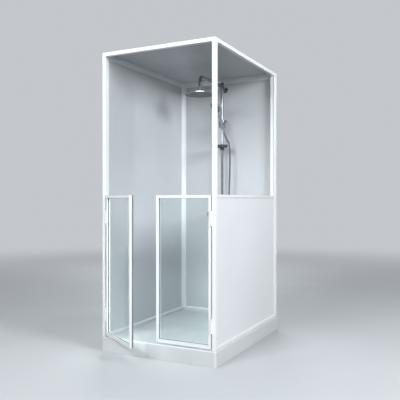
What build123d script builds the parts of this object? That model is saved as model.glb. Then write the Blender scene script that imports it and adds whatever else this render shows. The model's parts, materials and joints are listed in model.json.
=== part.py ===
from build123d import *
from math import asin, atan2, cos, degrees, hypot, radians, sin, sqrt, tan
import os

# Shower tray
TRAY_WIDTH = 900.0
TRAY_DEPTH = 1200.0
TRAY_HEIGHT = 105.0
TRAY_CORNER_RADIUS = 14.0
TRAY_EDGE_RADIUS = 7.0
TRAY_RIM = 32.0
TRAY_RECESS_DEPTH = 17.0
TRAY_RECESS_CORNER = 40.0
TRAY_RECESS_EDGE = 4.0
TRAY_FALL = 7.0
TRAY_SKIRT = 8.0
TRAY_FLOOR = 9.0
TRAY_RIB = 8.0
TRAY_RIB_DEPTH = 24.0
TRAY_CELL_COUNT_X = 4
TRAY_CELL_COUNT_Y = 4
FOOT_BOSS_RADIUS = 16.0

# Adjustable feet
FOOT_RADIUS = 30.0
FOOT_THICKNESS = 10.0
FOOT_STEM_RADIUS = 6.0
FOOT_STEM_INSERT = 16.0
FOOT_NUT_WIDTH = 19.0
FOOT_NUT_HEIGHT = 8.0

# Waste
WASTE_FLANGE_RADIUS = 57.0
WASTE_FLANGE_THICKNESS = 2.5
WASTE_SEAT_CLEARANCE = 0.5
WASTE_PAD = 130.0
WASTE_BODY_RADIUS = 44.0
WASTE_BORE_RADIUS = 41.0
WASTE_BODY_BOTTOM = 12.0
WASTE_WALL = 3.0
WASTE_PIPE_RADIUS = 20.0
WASTE_PIPE_BORE = 17.5
WASTE_COLLAR_RADIUS = 23.0
WASTE_PIPE_Z = 38.0
WASTE_PIPE_REACH = 40.0
WASTE_NOTCH_CLEARANCE = 3.0
WASTE_COVER_RADIUS = 54.0
WASTE_COVER_THICKNESS = 3.0
WASTE_COVER_GAP = 3.5
WASTE_COVER_DOME = 2.0
WASTE_CUP_RADIUS = 33.0
WASTE_CUP_DEPTH = 22.0
WASTE_LUG_COUNT = 3
WASTE_LUG_RADIUS = 4.0

# Frame posts and top rails
FRAME_INSET = 6.4
FRAME_HEIGHT = 2011.0
POST_WIDTH = 25.0
POST_DEPTH = 33.0
POST_CORNER = 2.0
PROFILE_WALL = 2.0
BASE_GASKET = 2.0
CAP_THICKNESS = 2.0
CAP_PLUG = 12.0
PLUG_CLEARANCE = 0.2
RAIL_HEIGHT = 25.0
CONNECTOR_LENGTH = 40.0
ROOF_THICKNESS = 4.0
ROOF_LEDGE = 6.0
ROOF_CLEARANCE = 0.5

# Wall panels and the channel rings that hold them
WALL_THICKNESS = 6.0
WALL_SETBACK = 6.6
TRIM_THICKNESS = 12.0
TRIM_FACE = 18.0
TRIM_WALL = 1.5
PANEL_CLEARANCE = 0.2
PANEL_END_GAP = 1.0
PIPE_HOLE_CLEARANCE = 1.5

# Half-height side panel and its rear jamb
JAMB_WIDTH = 30.0
JAMB_DEPTH = 19.6
JAMB_SETBACK = 5.6
JAMB_SLOT_DEPTH = 9.0
SIDE_PANEL_RISE = 3.0
SIDE_TOP_RAIL = 18.0
SIDE_BOTTOM_RAIL = 19.0
SIDE_PANEL_THICKNESS = 5.0
SIDE_PANEL_SETBACK = 7.6
SIDE_GROOVE_DEPTH = 9.0

# Doors
DOOR_FLOOR_GAP = 12.0
DOOR_HEIGHT = 988.0
DOOR_THICKNESS = 25.0
DOOR_HINGE_GAP = 6.6
DOOR_MEETING_GAP = 3.0
DOOR_STILE = 18.0
DOOR_TOP_RAIL = 18.0
DOOR_BOTTOM_RAIL = 22.0
DOOR_PROFILE_WALL = 1.6
DOOR_GROOVE_DEPTH = 8.0
DOOR_GROOVE_WIDTH = 10.0
DOOR_OPEN_ANGLE = 32.0
GLASS_THICKNESS = 5.0
GLASS_INSERT = 6.0
GASKET_LIP = 1.5
GASKET_FIT = 0.05
MEETING_SEAL = 1.3
MEETING_SEAL_DEPTH = 10.0
HINGE_SEAL = 4.0
HINGE_SEAL_DEPTH = 8.0
HINGE_SEAL_SETBACK = 14.0

# Butt hinges
HINGE_LENGTH = 100.0
HINGE_INSET = 149.0
HINGE_LEAF = 2.4
HINGE_LEAF_DEPTH = 22.0
HINGE_BARREL_RADIUS = 4.8
HINGE_BARREL_PROUD = 4.6
HINGE_PIN_RADIUS = 2.4
HINGE_PIN_CLEARANCE = 0.06
HINGE_KNUCKLE_SHARE = 0.3
HINGE_KNUCKLE_GAP = 0.6
HINGE_TIP_HEIGHT = 4.0
HINGE_TIP_WIDTH = 9.0

# Shower column
RISER_X = -14.0
RISER_WALL_DISTANCE = 70.0
TUBE_RADIUS = 12.0
TUBE_WALL = 1.5
TUBE_FIT = 0.06
BRACKET_RADIUS = 16.0
BRACKET_DROP = 35.0
BRACKET_HEIGHT = 20.0
BRACKET_STEM_RADIUS = 9.0
ROSE_RADIUS = 25.0
ROSE_THICKNESS = 8.0
ARM_BELOW_TOP = 73.0
ARM_COLLAR_RISE = 29.0
ARM_COLLAR_GAP = 0.5
ARM_REACH = 415.0
ARM_BEND_RADIUS = 32.0
ARM_DROP = 60.0
ARM_NUT_WIDTH = 30.0
ARM_NUT_HEIGHT = 16.0

# Rain head
BALL_RADIUS = 12.0
BALL_NECK_RADIUS = 6.0
BALL_DROP = 22.0
BALL_GAP = 0.3
BALL_BAND_ANGLE = 20.0
SEAT_LOW_ANGLE = -53.0
SEAT_HIGH_ANGLE = -17.5
SEAT_RING_THICKNESS = 1.6
HUB_RADIUS = 19.0
HUB_ABOVE = 7.0
HEAD_DROP = 32.0
HEAD_RADIUS = 125.0
HEAD_RIM = 8.0
HEAD_RIM_WIDTH = 5.0
HEAD_SHELL = 3.0
HEAD_CROWN = 5.0
NOZZLE_PLATE_THICKNESS = 3.0
NOZZLE_RADIUS = 2.2
NOZZLE_HEIGHT = 1.5
NOZZLE_RINGS = ((22.0, 6), (46.0, 10), (72.0, 16), (98.0, 20))

# Slider and its knob
SLIDER_DROP = 358.0
SLIDER_HEIGHT = 67.0
SLIDER_WIDTH = 50.0
SLIDER_DEPTH = 42.0
SLIDER_FILLET = 9.0
SLIDER_ARM_WIDTH = 15.0
SLIDER_ARM_HEIGHT = 16.0
KNOB_HEIGHT = 55.0
KNOB_RADIUS = 10.0
KNOB_LENGTH = 16.0
KNOB_STEM_RADIUS = 4.0
KNOB_STEM_INSERT = 10.0
KNOB_GAP = 0.4
KNOB_NOTCHES = 8
KNOB_NOTCH_RADIUS = 2.4

# Handset, its holder and their common axis
HANDSET_OFFSET = (33.0, -48.0, -24.0)
HANDSET_HEADING = 22.0
HANDSET_LEAN = 24.6
HANDSET_LENGTH = 206.0
HANDLE_BASE_RADIUS = 10.0
HANDLE_SEAT_RADIUS = 12.0
HANDLE_NECK_RADIUS = 11.0
HANDLE_TIP_RADIUS = 8.8
HOLDER_START = 42.0
HOLDER_LENGTH = 36.0
HOLDER_WALL = 3.5
HOLDER_GAP = 0.35
HOLDER_SLOT = 17.0
PIVOT_BACK = 36.0
PIVOT_RADIUS = 9.0
PIVOT_HALF_WIDTH = 6.0
PIVOT_BARREL = 8.0
PIVOT_HEAD = 2.5
PIVOT_HEAD_RADIUS = 7.0
PIVOT_GAP = 0.4
PIVOT_PIN_RADIUS = 4.0
SHOWER_HEAD_RADIUS = 50.0
SHOWER_HEAD_DEPTH = 20.0
SHOWER_HEAD_EDGE = 1.5
SHOWER_HEAD_TILT = 15.0
SPRAY_FACE_RADIUS = 43.0
SPRAY_FACE_THICKNESS = 3.0
SPRAY_FACE_CLEARANCE = 0.1
SPRAY_NOZZLE_RADIUS = 1.8
SPRAY_RINGS = ((13.0, 5), (24.0, 8), (35.0, 12))

# Soap dish
DISH_LENGTH = 140.0
DISH_DEPTH = 100.0
DISH_DROP = 173.0
DISH_HEIGHT = 23.0
DISH_WALL = 3.0
DISH_FLARE = 8.0
DISH_CORNER = 42.0
DISH_CENTRE_OFFSET = 50.0
DISH_CLAMP_RADIUS = 18.0
DISH_CLAMP_DROP = 18.0
DISH_SLOT_LENGTH = 54.0
DISH_SLOT_WIDTH = 5.0
DISH_SLOT_PITCH = 13.0
DISH_SLOTS = 4

# Mixer
MIXER_Z = 950.0
MIXER_RADIUS = 20.0
MIXER_LENGTH = 188.0
MIXER_SHOULDER = 3.0
MIXER_SOCKET_RADIUS = 16.0
MIXER_SOCKET_RISE = 40.0
MIXER_SOCKET_DEPTH = 16.0
INLET_SPACING = 150.0
INLET_STEM_RADIUS = 10.0
INLET_NUT_WIDTH = 32.0
INLET_NUT_LENGTH = 14.0
INLET_ROSE_RADIUS = 32.0
INLET_ROSE_THICKNESS = 9.0
TAIL_RADIUS = 7.5
BACKNUT_WIDTH = 30.0
TAIL_REACH = 40.0
HOSE_OUTLET_OFFSET = -80.0
HOSE_OUTLET_RADIUS = 9.0
HOSE_OUTLET_LENGTH = 10.0
MIXER_KNOB_RADIUS = 22.0
MIXER_KNOB_LENGTH = 38.0
MIXER_KNOB_GAP = 0.6
MIXER_SPINDLE_RADIUS = 9.0
MIXER_SPINDLE_LENGTH = 22.0
MIXER_KNOB_NOTCHES = 8
MIXER_KNOB_NOTCH_RADIUS = 4.6
KNOB_LEVER_LENGTH = 15.0

# Hose and its nuts
HOSE_RADIUS = 7.0
HOSE_BORE = 5.0
HOSE_NUT_LENGTH = 24.0
HOSE_NUT_RADIUS = 9.3
HOSE_NUT_WAIST = 7.8
HOSE_RUN_OUT = 60.0
HOSE_RISE = 190.0
# Bends of the free hose from the handset's side to the mixer's, as offsets from the riser and heights
HOSE_BENDS = (
    (71.0, -18.0, 1520.0), (70.0, -18.0, 1110.0), (71.0, -44.0, 990.0), (80.0, -43.0, 810.0),
    (81.0, -36.0, 618.5), (34.0, -26.0, 571.5), (-34.0, -14.0, 571.5), (-81.0, -5.0, 618.5))

# Places that follow from the sizes above
OUTER_X = TRAY_WIDTH / 2 - FRAME_INSET
OUTER_Y = TRAY_DEPTH / 2 - FRAME_INSET
INNER_X = OUTER_X - POST_WIDTH
INNER_Y = OUTER_Y - POST_DEPTH
FRAME_TOP = TRAY_HEIGHT + FRAME_HEIGHT
RAIL_BASE = FRAME_TOP - RAIL_HEIGHT
DOOR_BOTTOM = TRAY_HEIGHT + DOOR_FLOOR_GAP
DOOR_TOP = DOOR_BOTTOM + DOOR_HEIGHT
SIDE_PANEL_TOP = DOOR_TOP + SIDE_PANEL_RISE
HINGE_HEIGHTS = (DOOR_BOTTOM + HINGE_INSET, DOOR_TOP - HINGE_INSET)
RECESS_Z = TRAY_HEIGHT - TRAY_RECESS_DEPTH
DRAIN_Z = RECESS_Z - TRAY_FALL
TRAY_UNDERSIDE = DRAIN_Z - TRAY_FLOOR
CELL_X = (TRAY_WIDTH - 2 * TRAY_SKIRT) / TRAY_CELL_COUNT_X
CELL_Y = (TRAY_DEPTH - 2 * TRAY_SKIRT) / TRAY_CELL_COUNT_Y
WASTE_X = CELL_X * (TRAY_CELL_COUNT_X - 1) / 2
WASTE_Y = CELL_Y * (TRAY_CELL_COUNT_Y - 1) / 2
WASTE_SEAT = DRAIN_Z - WASTE_FLANGE_THICKNESS
REAR_FACE = OUTER_Y - WALL_SETBACK - (TRIM_THICKNESS + WALL_THICKNESS) / 2
RISER_Y = REAR_FACE - RISER_WALL_DISTANCE
HINGE_X = INNER_X - DOOR_HINGE_GAP / 2
HINGE_Y = -OUTER_Y - HINGE_BARREL_PROUD
ARM_Z = FRAME_TOP - ARM_BELOW_TOP
ARM_COLLAR_TOP = ARM_Z + ARM_COLLAR_RISE
BRACKET_BOTTOM = ARM_Z - BRACKET_DROP
BALL_Y = RISER_Y - ARM_REACH
BALL_Z = ARM_Z - ARM_DROP - ARM_NUT_HEIGHT - BALL_DROP
NUT_TOP = ARM_Z - ARM_DROP
HEAD_TOP = BALL_Z - HEAD_DROP
MIXER_SOCKET_TOP = MIXER_Z + MIXER_SOCKET_RISE
HOSE_OUTLET_X = RISER_X + HOSE_OUTLET_OFFSET
SLIDER_BOTTOM = ARM_Z - SLIDER_DROP
KNOB_Z = SLIDER_BOTTOM + KNOB_HEIGHT
DISH_BOTTOM = SLIDER_BOTTOM - DISH_DROP
HANDSET_BASE = Vector(RISER_X, RISER_Y, SLIDER_BOTTOM) + Vector(*HANDSET_OFFSET)
HEADING = radians(HANDSET_HEADING)
LEAN = radians(HANDSET_LEAN)
HANDSET_AXIS = Vector(-sin(LEAN) * sin(HEADING), -sin(LEAN) * cos(HEADING), cos(LEAN))
HANDSET_SIDE = Vector(cos(HEADING), -sin(HEADING), 0)
HANDSET_PLANE = Plane(origin=HANDSET_BASE, x_dir=HANDSET_SIDE, z_dir=HANDSET_AXIS)
HOLDER_MIDDLE = HOLDER_START + HOLDER_LENGTH / 2
HOLDER_CENTRE = HANDSET_BASE + HANDSET_AXIS * HOLDER_MIDDLE
PIVOT = HOLDER_CENTRE + Vector(sin(HEADING), cos(HEADING), 0) * PIVOT_BACK


def block(x0, x1, y0, y1, z0, z1):
    """Box between two corners."""
    centre = Pos((x0 + x1) / 2, (y0 + y1) / 2, (z0 + z1) / 2)
    return centre * Box(abs(x1 - x0), abs(y1 - y0), abs(z1 - z0))


def rod(x, y, z0, z1, radius):
    """Upright cylinder between two heights."""
    return Pos(x, y, (z0 + z1) / 2) * Cylinder(radius, z1 - z0)


def tube_between(start, end, radius):
    """Cylinder from one point to another."""
    start = Vector(*start)
    direction = Vector(*end) - start
    return extrude(Plane(origin=start, z_dir=direction) * Circle(radius), direction.length)


def hexagon(x, y, z0, z1, width):
    """Upright hexagonal nut of a given width across flats."""
    outline = Pos(x, y, z0) * RegularPolygon(width / 2, 6, major_radius=False)
    return extrude(outline, z1 - z0)


def save(shape, node):
    """Write one piece to its own file."""
    export_step(shape, f"parts/{node}.step")


def each(shapes):
    """Several loose pieces kept in one node."""
    return Compound(children=list(shapes))


def tray():
    """Tray with a rounded rim, a floor that falls to the waste and a ribbed underside."""
    outline = RectangleRounded(TRAY_WIDTH, TRAY_DEPTH, TRAY_CORNER_RADIUS)
    body = extrude(outline, TRAY_HEIGHT)
    body = fillet(body.faces().sort_by(Axis.Z)[-1].edges(), TRAY_EDGE_RADIUS)
    recess_size = (TRAY_WIDTH - 2 * TRAY_RIM, TRAY_DEPTH - 2 * TRAY_RIM)
    recess = RectangleRounded(*recess_size, TRAY_RECESS_CORNER)
    body -= extrude(Pos(0, 0, RECESS_Z) * recess, TRAY_RECESS_DEPTH)
    slope_size = (recess_size[0] - TRAY_RECESS_CORNER, recess_size[1] - TRAY_RECESS_CORNER)
    top = Pos(0, 0, RECESS_Z) * Rectangle(*slope_size)
    bottom = Pos(WASTE_X, WASTE_Y, DRAIN_Z) * Rectangle(WASTE_PAD, WASTE_PAD)
    body -= loft([top, bottom], ruled=True)
    inner = (TRAY_WIDTH / 2 - TRAY_SKIRT, TRAY_DEPTH / 2 - TRAY_SKIRT)
    rib_bottom = TRAY_UNDERSIDE - TRAY_RIB_DEPTH
    body -= block(-inner[0], inner[0], -inner[1], inner[1], 0, rib_bottom)
    cell = Box(CELL_X - TRAY_RIB, CELL_Y - TRAY_RIB, TRAY_RIB_DEPTH)
    middle = TRAY_UNDERSIDE - TRAY_RIB_DEPTH / 2
    cells = GridLocations(CELL_X, CELL_Y, TRAY_CELL_COUNT_X, TRAY_CELL_COUNT_Y)
    body -= [Pos(0, 0, middle) * place * cell for place in cells]
    for x, y in foot_places():
        body += rod(x, y, rib_bottom, TRAY_UNDERSIDE, FOOT_BOSS_RADIUS)
        body -= rod(x, y, rib_bottom, rib_bottom + FOOT_STEM_INSERT, FOOT_STEM_RADIUS + TUBE_FIT)
    body -= rod(WASTE_X, WASTE_Y, WASTE_SEAT, DRAIN_Z, WASTE_FLANGE_RADIUS + WASTE_SEAT_CLEARANCE)
    body -= rod(WASTE_X, WASTE_Y, 0, DRAIN_Z, WASTE_BODY_RADIUS + WASTE_SEAT_CLEARANCE)
    return body - waste_notch()


def waste_notch():
    """Slot through the rear ribs and skirt, open downwards, that the waste pipe leaves by."""
    half = WASTE_COLLAR_RADIUS + WASTE_NOTCH_CLEARANCE
    rear = TRAY_DEPTH / 2
    round_top = tube_between((WASTE_X, WASTE_Y, WASTE_PIPE_Z), (WASTE_X, rear, WASTE_PIPE_Z), half)
    slot = round_top + block(WASTE_X - half, WASTE_X + half, WASTE_Y, rear, 0, WASTE_PIPE_Z)
    return slot & block(0, TRAY_WIDTH, WASTE_Y, rear, 0, TRAY_UNDERSIDE)


def foot_places():
    """One foot under the middle of the tray and four round it."""
    return [(0, 0)] + [(x * CELL_X, y * CELL_Y) for x in (-1, 1) for y in (-1, 1)]


def feet():
    """Adjustable feet: pad, lock nut and stem that ends inside the tray's boss."""
    rib_bottom = TRAY_UNDERSIDE - TRAY_RIB_DEPTH
    profile = Polyline(
        (0, 0), (FOOT_RADIUS, 0), (FOOT_RADIUS, FOOT_THICKNESS / 3),
        (FOOT_RADIUS / 2, FOOT_THICKNESS), (0, FOOT_THICKNESS), close=True)
    pad = revolve(Plane.XZ * make_face(profile), Axis.Z)
    stem = rod(0, 0, FOOT_THICKNESS, rib_bottom + FOOT_STEM_INSERT, FOOT_STEM_RADIUS)
    nut = hexagon(0, 0, rib_bottom - FOOT_NUT_HEIGHT, rib_bottom, FOOT_NUT_WIDTH)
    foot = pad + stem + nut
    return each([Pos(x, y, 0) * foot for x, y in foot_places()])


def waste_body():
    """Low trap: flange in the tray, cup below it and the pipe that runs out under the rear skirt."""
    bore = rod(WASTE_X, WASTE_Y, WASTE_BODY_BOTTOM + WASTE_WALL, DRAIN_Z, WASTE_BORE_RADIUS)
    flange = rod(WASTE_X, WASTE_Y, WASTE_SEAT, DRAIN_Z, WASTE_FLANGE_RADIUS) - bore
    outside = rod(WASTE_X, WASTE_Y, WASTE_BODY_BOTTOM, WASTE_SEAT, WASTE_BODY_RADIUS)
    middle = (WASTE_X, WASTE_Y, WASTE_PIPE_Z)
    skirt = (WASTE_X, TRAY_DEPTH / 2, WASTE_PIPE_Z)
    end = (WASTE_X, TRAY_DEPTH / 2 + WASTE_PIPE_REACH, WASTE_PIPE_Z)
    water_way = tube_between(middle, end, WASTE_PIPE_BORE)
    pipe = tube_between(middle, end, WASTE_PIPE_RADIUS) + tube_between(middle, skirt, WASTE_COLLAR_RADIUS)
    return each([flange, outside - bore - water_way, pipe - outside - water_way])


def waste_cover():
    """Lift-out domed cover on lugs, with the cup that dips into the trap."""
    under = DRAIN_Z + WASTE_COVER_GAP
    top = under + WASTE_COVER_THICKNESS
    crown = top + WASTE_COVER_DOME
    edge = WASTE_COVER_RADIUS
    cup_bottom = DRAIN_Z - WASTE_CUP_DEPTH
    cup_inner = WASTE_CUP_RADIUS - WASTE_WALL
    profile = Polyline(
        (0, crown), (edge / 2, crown), (edge, top), (edge, under),
        (WASTE_CUP_RADIUS, under), (WASTE_CUP_RADIUS, cup_bottom), (cup_inner, cup_bottom),
        (cup_inner, under), (0, under), close=True)
    cover = revolve(Plane.XZ * make_face(profile), Axis.Z)
    lug_ring = (WASTE_COVER_RADIUS + WASTE_BORE_RADIUS) / 2
    for place in PolarLocations(lug_ring, WASTE_LUG_COUNT):
        cover += place * rod(0, 0, DRAIN_Z, under, WASTE_LUG_RADIUS)
    return Pos(WASTE_X, WASTE_Y, 0) * cover


def post_section(inset):
    """Outline of a post, or of the space inside it."""
    size = (POST_WIDTH - 2 * inset, POST_DEPTH - 2 * inset)
    return RectangleRounded(*size, POST_CORNER) if inset == 0 else Rectangle(*size)


def post_place(side, end):
    """Centre of the post on one side and at one end."""
    return side * (OUTER_X + INNER_X) / 2, end * (OUTER_Y + INNER_Y) / 2


def post(side, end):
    """Hollow corner post."""
    x, y = post_place(side, end)
    base = TRAY_HEIGHT + BASE_GASKET
    length = FRAME_TOP - CAP_THICKNESS - base
    section = post_section(0) - post_section(PROFILE_WALL)
    return extrude(Pos(x, y, base) * section, length)


def post_caps():
    """Cap and plug in the top of each post."""
    caps = []
    for side in (-1, 1):
        for end in (-1, 1):
            x, y = post_place(side, end)
            top = FRAME_TOP - CAP_THICKNESS
            cap = extrude(Pos(x, y, top) * post_section(0), CAP_THICKNESS)
            plug = Pos(x, y, top - CAP_PLUG) * post_section(PROFILE_WALL + PLUG_CLEARANCE)
            caps.append(cap + extrude(plug, CAP_PLUG))
    return each(caps)


def rail_section(width, inset):
    """Top rail outline with the step that the roof panel lies in, or the space inside it."""
    high = RAIL_HEIGHT - inset
    low = RAIL_HEIGHT - ROOF_THICKNESS - inset
    step = width - ROOF_LEDGE - inset
    far = width - inset
    return make_face(Polyline(
        (inset, inset), (far, inset), (far, low), (step, low), (step, high), (inset, high), close=True))


def rail_planes():
    """Start plane, inward direction, width and length of each top rail."""
    return {
        "rail_front": ((-INNER_X, -OUTER_Y), (0, 1, 0), POST_DEPTH, 2 * INNER_X),
        "rail_rear": ((INNER_X, OUTER_Y), (0, -1, 0), POST_DEPTH, 2 * INNER_X),
        "rail_left": ((-OUTER_X, INNER_Y), (1, 0, 0), POST_WIDTH, 2 * INNER_Y),
        "rail_right": ((OUTER_X, -INNER_Y), (-1, 0, 0), POST_WIDTH, 2 * INNER_Y),
    }


def rail(start, inward, width, length):
    """Hollow top rail."""
    along = Vector(*inward).cross(Vector(0, 0, 1))
    plane = Plane(origin=(*start, RAIL_BASE), x_dir=inward, z_dir=along)
    section = rail_section(width, 0) - rail_section(width, PROFILE_WALL)
    return extrude(plane * section, length)


def corner_connectors():
    """Plugs that stand on the posts and fill the ends of the top rails."""
    plugs = []
    for start, inward, width, length in rail_planes().values():
        along = Vector(*inward).cross(Vector(0, 0, 1))
        for offset in (0, length - CONNECTOR_LENGTH):
            origin = Vector(*start, RAIL_BASE) + along * offset
            plane = Plane(origin=origin, x_dir=inward, z_dir=along)
            section = rail_section(width, PROFILE_WALL + PLUG_CLEARANCE)
            plugs.append(extrude(plane * section, CONNECTOR_LENGTH))
    return each(plugs)


def base_gasket():
    """Thin seal on the tray rim under the posts and the side panel."""
    z0, z1 = TRAY_HEIGHT, TRAY_HEIGHT + BASE_GASKET
    pads = []
    for side in (-1, 1):
        for end in (-1, 1):
            x, y = post_place(side, end)
            pads.append(extrude(Pos(x, y, z0) * post_section(0), BASE_GASKET))
    strip = block(INNER_X, OUTER_X - 1, -INNER_Y, INNER_Y - JAMB_DEPTH, z0, z1)
    return each(pads + [strip])


def roof_panel():
    """Flat roof sheet with its corners cut round the posts."""
    reach = ROOF_LEDGE - ROOF_CLEARANCE
    x, y = INNER_X + reach, INNER_Y + reach
    panel = block(-x, x, -y, y, FRAME_TOP - ROOF_THICKNESS, FRAME_TOP)
    for side in (-1, 1):
        for end in (-1, 1):
            x0 = side * (INNER_X - ROOF_CLEARANCE)
            y0 = end * (INNER_Y - ROOF_CLEARANCE)
            panel -= block(x0, side * OUTER_X, y0, end * OUTER_Y, RAIL_BASE, FRAME_TOP)
    return panel


def trim_ring(width, height):
    """Channel ring that holds a wall panel; its opening lies in XZ and it is centred on Y = 0."""
    half, thick = width / 2, TRIM_THICKNESS / 2
    slot = WALL_THICKNESS / 2 + PANEL_CLEARANCE
    ring = block(-half, half, -thick, thick, 0, height)
    ring -= block(-half + TRIM_FACE, half - TRIM_FACE, -thick, thick, TRIM_FACE, height - TRIM_FACE)
    return ring - block(-half + TRIM_WALL, half - TRIM_WALL, -slot, slot, TRIM_WALL, height - TRIM_WALL)


def wall_sheet(width, height):
    """Wall panel that stands in its channel ring."""
    half = width / 2 - TRIM_WALL - PANEL_END_GAP
    thick = WALL_THICKNESS / 2
    return block(-half, half, -thick, thick, TRIM_WALL, height - TRIM_WALL - PANEL_END_GAP)


def rear_wall_place():
    """Middle plane of the rear wall."""
    return Pos(0, OUTER_Y - WALL_SETBACK - TRIM_THICKNESS / 2, TRAY_HEIGHT)


def left_wall_place():
    """Middle plane of the left wall."""
    return Pos(-OUTER_X + WALL_SETBACK + TRIM_THICKNESS / 2, 0, TRAY_HEIGHT) * Rot(0, 0, 90)


def wall_channels():
    """Channel rings of the rear and left walls."""
    height = RAIL_BASE - TRAY_HEIGHT
    rear = rear_wall_place() * trim_ring(2 * INNER_X, height)
    left = left_wall_place() * trim_ring(2 * INNER_Y, height)
    return each([rear, left])


def wall_rear():
    """Rear wall panel with the holes that the water tails pass through."""
    panel = rear_wall_place() * wall_sheet(2 * INNER_X, RAIL_BASE - TRAY_HEIGHT)
    for x in inlet_places():
        start = (x, REAR_FACE - WALL_THICKNESS, MIXER_Z)
        end = (x, REAR_FACE + 2 * WALL_THICKNESS, MIXER_Z)
        panel -= tube_between(start, end, TAIL_RADIUS + PIPE_HOLE_CLEARANCE)
    return panel


def wall_left():
    """Left wall panel."""
    return left_wall_place() * wall_sheet(2 * INNER_Y, RAIL_BASE - TRAY_HEIGHT)


def jamb():
    """Hollow rear jamb with the slot that takes the side panel's rear edge."""
    x1 = OUTER_X - JAMB_SETBACK
    x0 = x1 - JAMB_WIDTH
    y1, y0 = INNER_Y, INNER_Y - JAMB_DEPTH
    z0, z1 = TRAY_HEIGHT, RAIL_BASE
    body = block(x0, x1, y0, y1, z0, z1)
    middle = side_panel_middle()
    slot = SIDE_PANEL_THICKNESS / 2 + PANEL_CLEARANCE
    body -= block(middle - slot, middle + slot, y0, y0 + JAMB_SLOT_DEPTH, z0, z1)
    cavity_x1 = middle - slot - PROFILE_WALL
    body -= block(x0 + PROFILE_WALL, cavity_x1, y0 + PROFILE_WALL, y1 - PROFILE_WALL, z0, z1)
    rear = y0 + JAMB_SLOT_DEPTH + PROFILE_WALL
    return body - block(cavity_x1 + PROFILE_WALL, x1 - PROFILE_WALL, rear, y1 - PROFILE_WALL, z0, z1)


def side_panel_middle():
    """Middle plane of the half-height side panel."""
    return OUTER_X - SIDE_PANEL_SETBACK - SIDE_PANEL_THICKNESS / 2


def side_rail(bottom, height, groove_up):
    """Hollow rail of the side panel with the groove that takes the panel's edge."""
    y0, y1 = -INNER_Y, INNER_Y - JAMB_DEPTH
    top = bottom + height
    body = block(INNER_X, OUTER_X, y0, y1, bottom, top)
    middle = side_panel_middle()
    slot = SIDE_PANEL_THICKNESS / 2 + PANEL_CLEARANCE
    groove = (top - SIDE_GROOVE_DEPTH, top) if groove_up else (bottom, bottom + SIDE_GROOVE_DEPTH)
    body -= block(middle - slot, middle + slot, y0, y1, *groove)
    cavity_x1 = middle - slot - PROFILE_WALL
    return body - block(
        INNER_X + PROFILE_WALL, cavity_x1, y0, y1, bottom + PROFILE_WALL, top - PROFILE_WALL)


def side_panel():
    """Half-height panel held in the two rails and the jamb."""
    middle = side_panel_middle()
    thick = SIDE_PANEL_THICKNESS / 2
    bottom = TRAY_HEIGHT + BASE_GASKET + SIDE_BOTTOM_RAIL - SIDE_GROOVE_DEPTH
    top = SIDE_PANEL_TOP - SIDE_TOP_RAIL + SIDE_GROOVE_DEPTH - PANEL_END_GAP
    rear = INNER_Y - JAMB_DEPTH + JAMB_SLOT_DEPTH - PANEL_END_GAP
    return block(middle - thick, middle + thick, -INNER_Y + PANEL_END_GAP, rear, bottom, top)


def door_width():
    """Width of one door leaf."""
    return INNER_X - DOOR_HINGE_GAP - DOOR_MEETING_GAP / 2


def door_member(length, face):
    """Hollow door profile along Z: face width along +X from 0, glazing groove at its inner side."""
    half = DOOR_THICKNESS / 2
    groove = DOOR_GROOVE_WIDTH / 2
    wall = DOOR_PROFILE_WALL
    body = block(0, face, -half, half, 0, length)
    body -= block(face - DOOR_GROOVE_DEPTH, face, -groove, groove, 0, length)
    return body - block(wall, face - DOOR_GROOVE_DEPTH - wall, -half + wall, half - wall, 0, length)


def door_outline():
    """Mitre areas of the four frame members, in the plane of the door."""
    width, height = door_width(), DOOR_HEIGHT
    inner_x = (DOOR_STILE, width - DOOR_STILE)
    inner_z = (DOOR_BOTTOM_RAIL, height - DOOR_TOP_RAIL)
    low_left, low_right = (0, 0), (width, 0)
    high_left, high_right = (0, height), (width, height)
    corners = {
        "left": (low_left, high_left, (inner_x[0], inner_z[1]), (inner_x[0], inner_z[0])),
        "right": (low_right, high_right, (inner_x[1], inner_z[1]), (inner_x[1], inner_z[0])),
        "bottom": (low_left, low_right, (inner_x[1], inner_z[0]), (inner_x[0], inner_z[0])),
        "top": (high_left, high_right, (inner_x[1], inner_z[1]), (inner_x[0], inner_z[1])),
    }
    areas = {}
    for name, points in corners.items():
        face = Plane.XZ * make_face(Polyline(*points, close=True))
        areas[name] = extrude(face, DOOR_THICKNESS, both=True)
    return areas


def door_stiles():
    """Two upright frame members, mitred at both ends."""
    areas = door_outline()
    left = door_member(DOOR_HEIGHT, DOOR_STILE) & areas["left"]
    right = Pos(door_width(), 0, 0) * Rot(0, 0, 180) * door_member(DOOR_HEIGHT, DOOR_STILE) & areas["right"]
    return [left, right]


def door_rails():
    """Top and bottom frame members, mitred at both ends."""
    areas = door_outline()
    bottom = Pos(door_width(), 0, 0) * Rot(0, -90, 0) * door_member(door_width(), DOOR_BOTTOM_RAIL)
    top = Pos(0, 0, DOOR_HEIGHT) * Rot(0, 90, 0) * door_member(door_width(), DOOR_TOP_RAIL)
    return [bottom & areas["bottom"], top & areas["top"]]


def door_glass():
    """Pane that stands in the frame's grooves."""
    side = DOOR_STILE - GLASS_INSERT
    low, high = DOOR_BOTTOM_RAIL - GLASS_INSERT, DOOR_HEIGHT - DOOR_TOP_RAIL + GLASS_INSERT
    half = GLASS_THICKNESS / 2
    return block(side, door_width() - side, -half, half, low, high)


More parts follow.
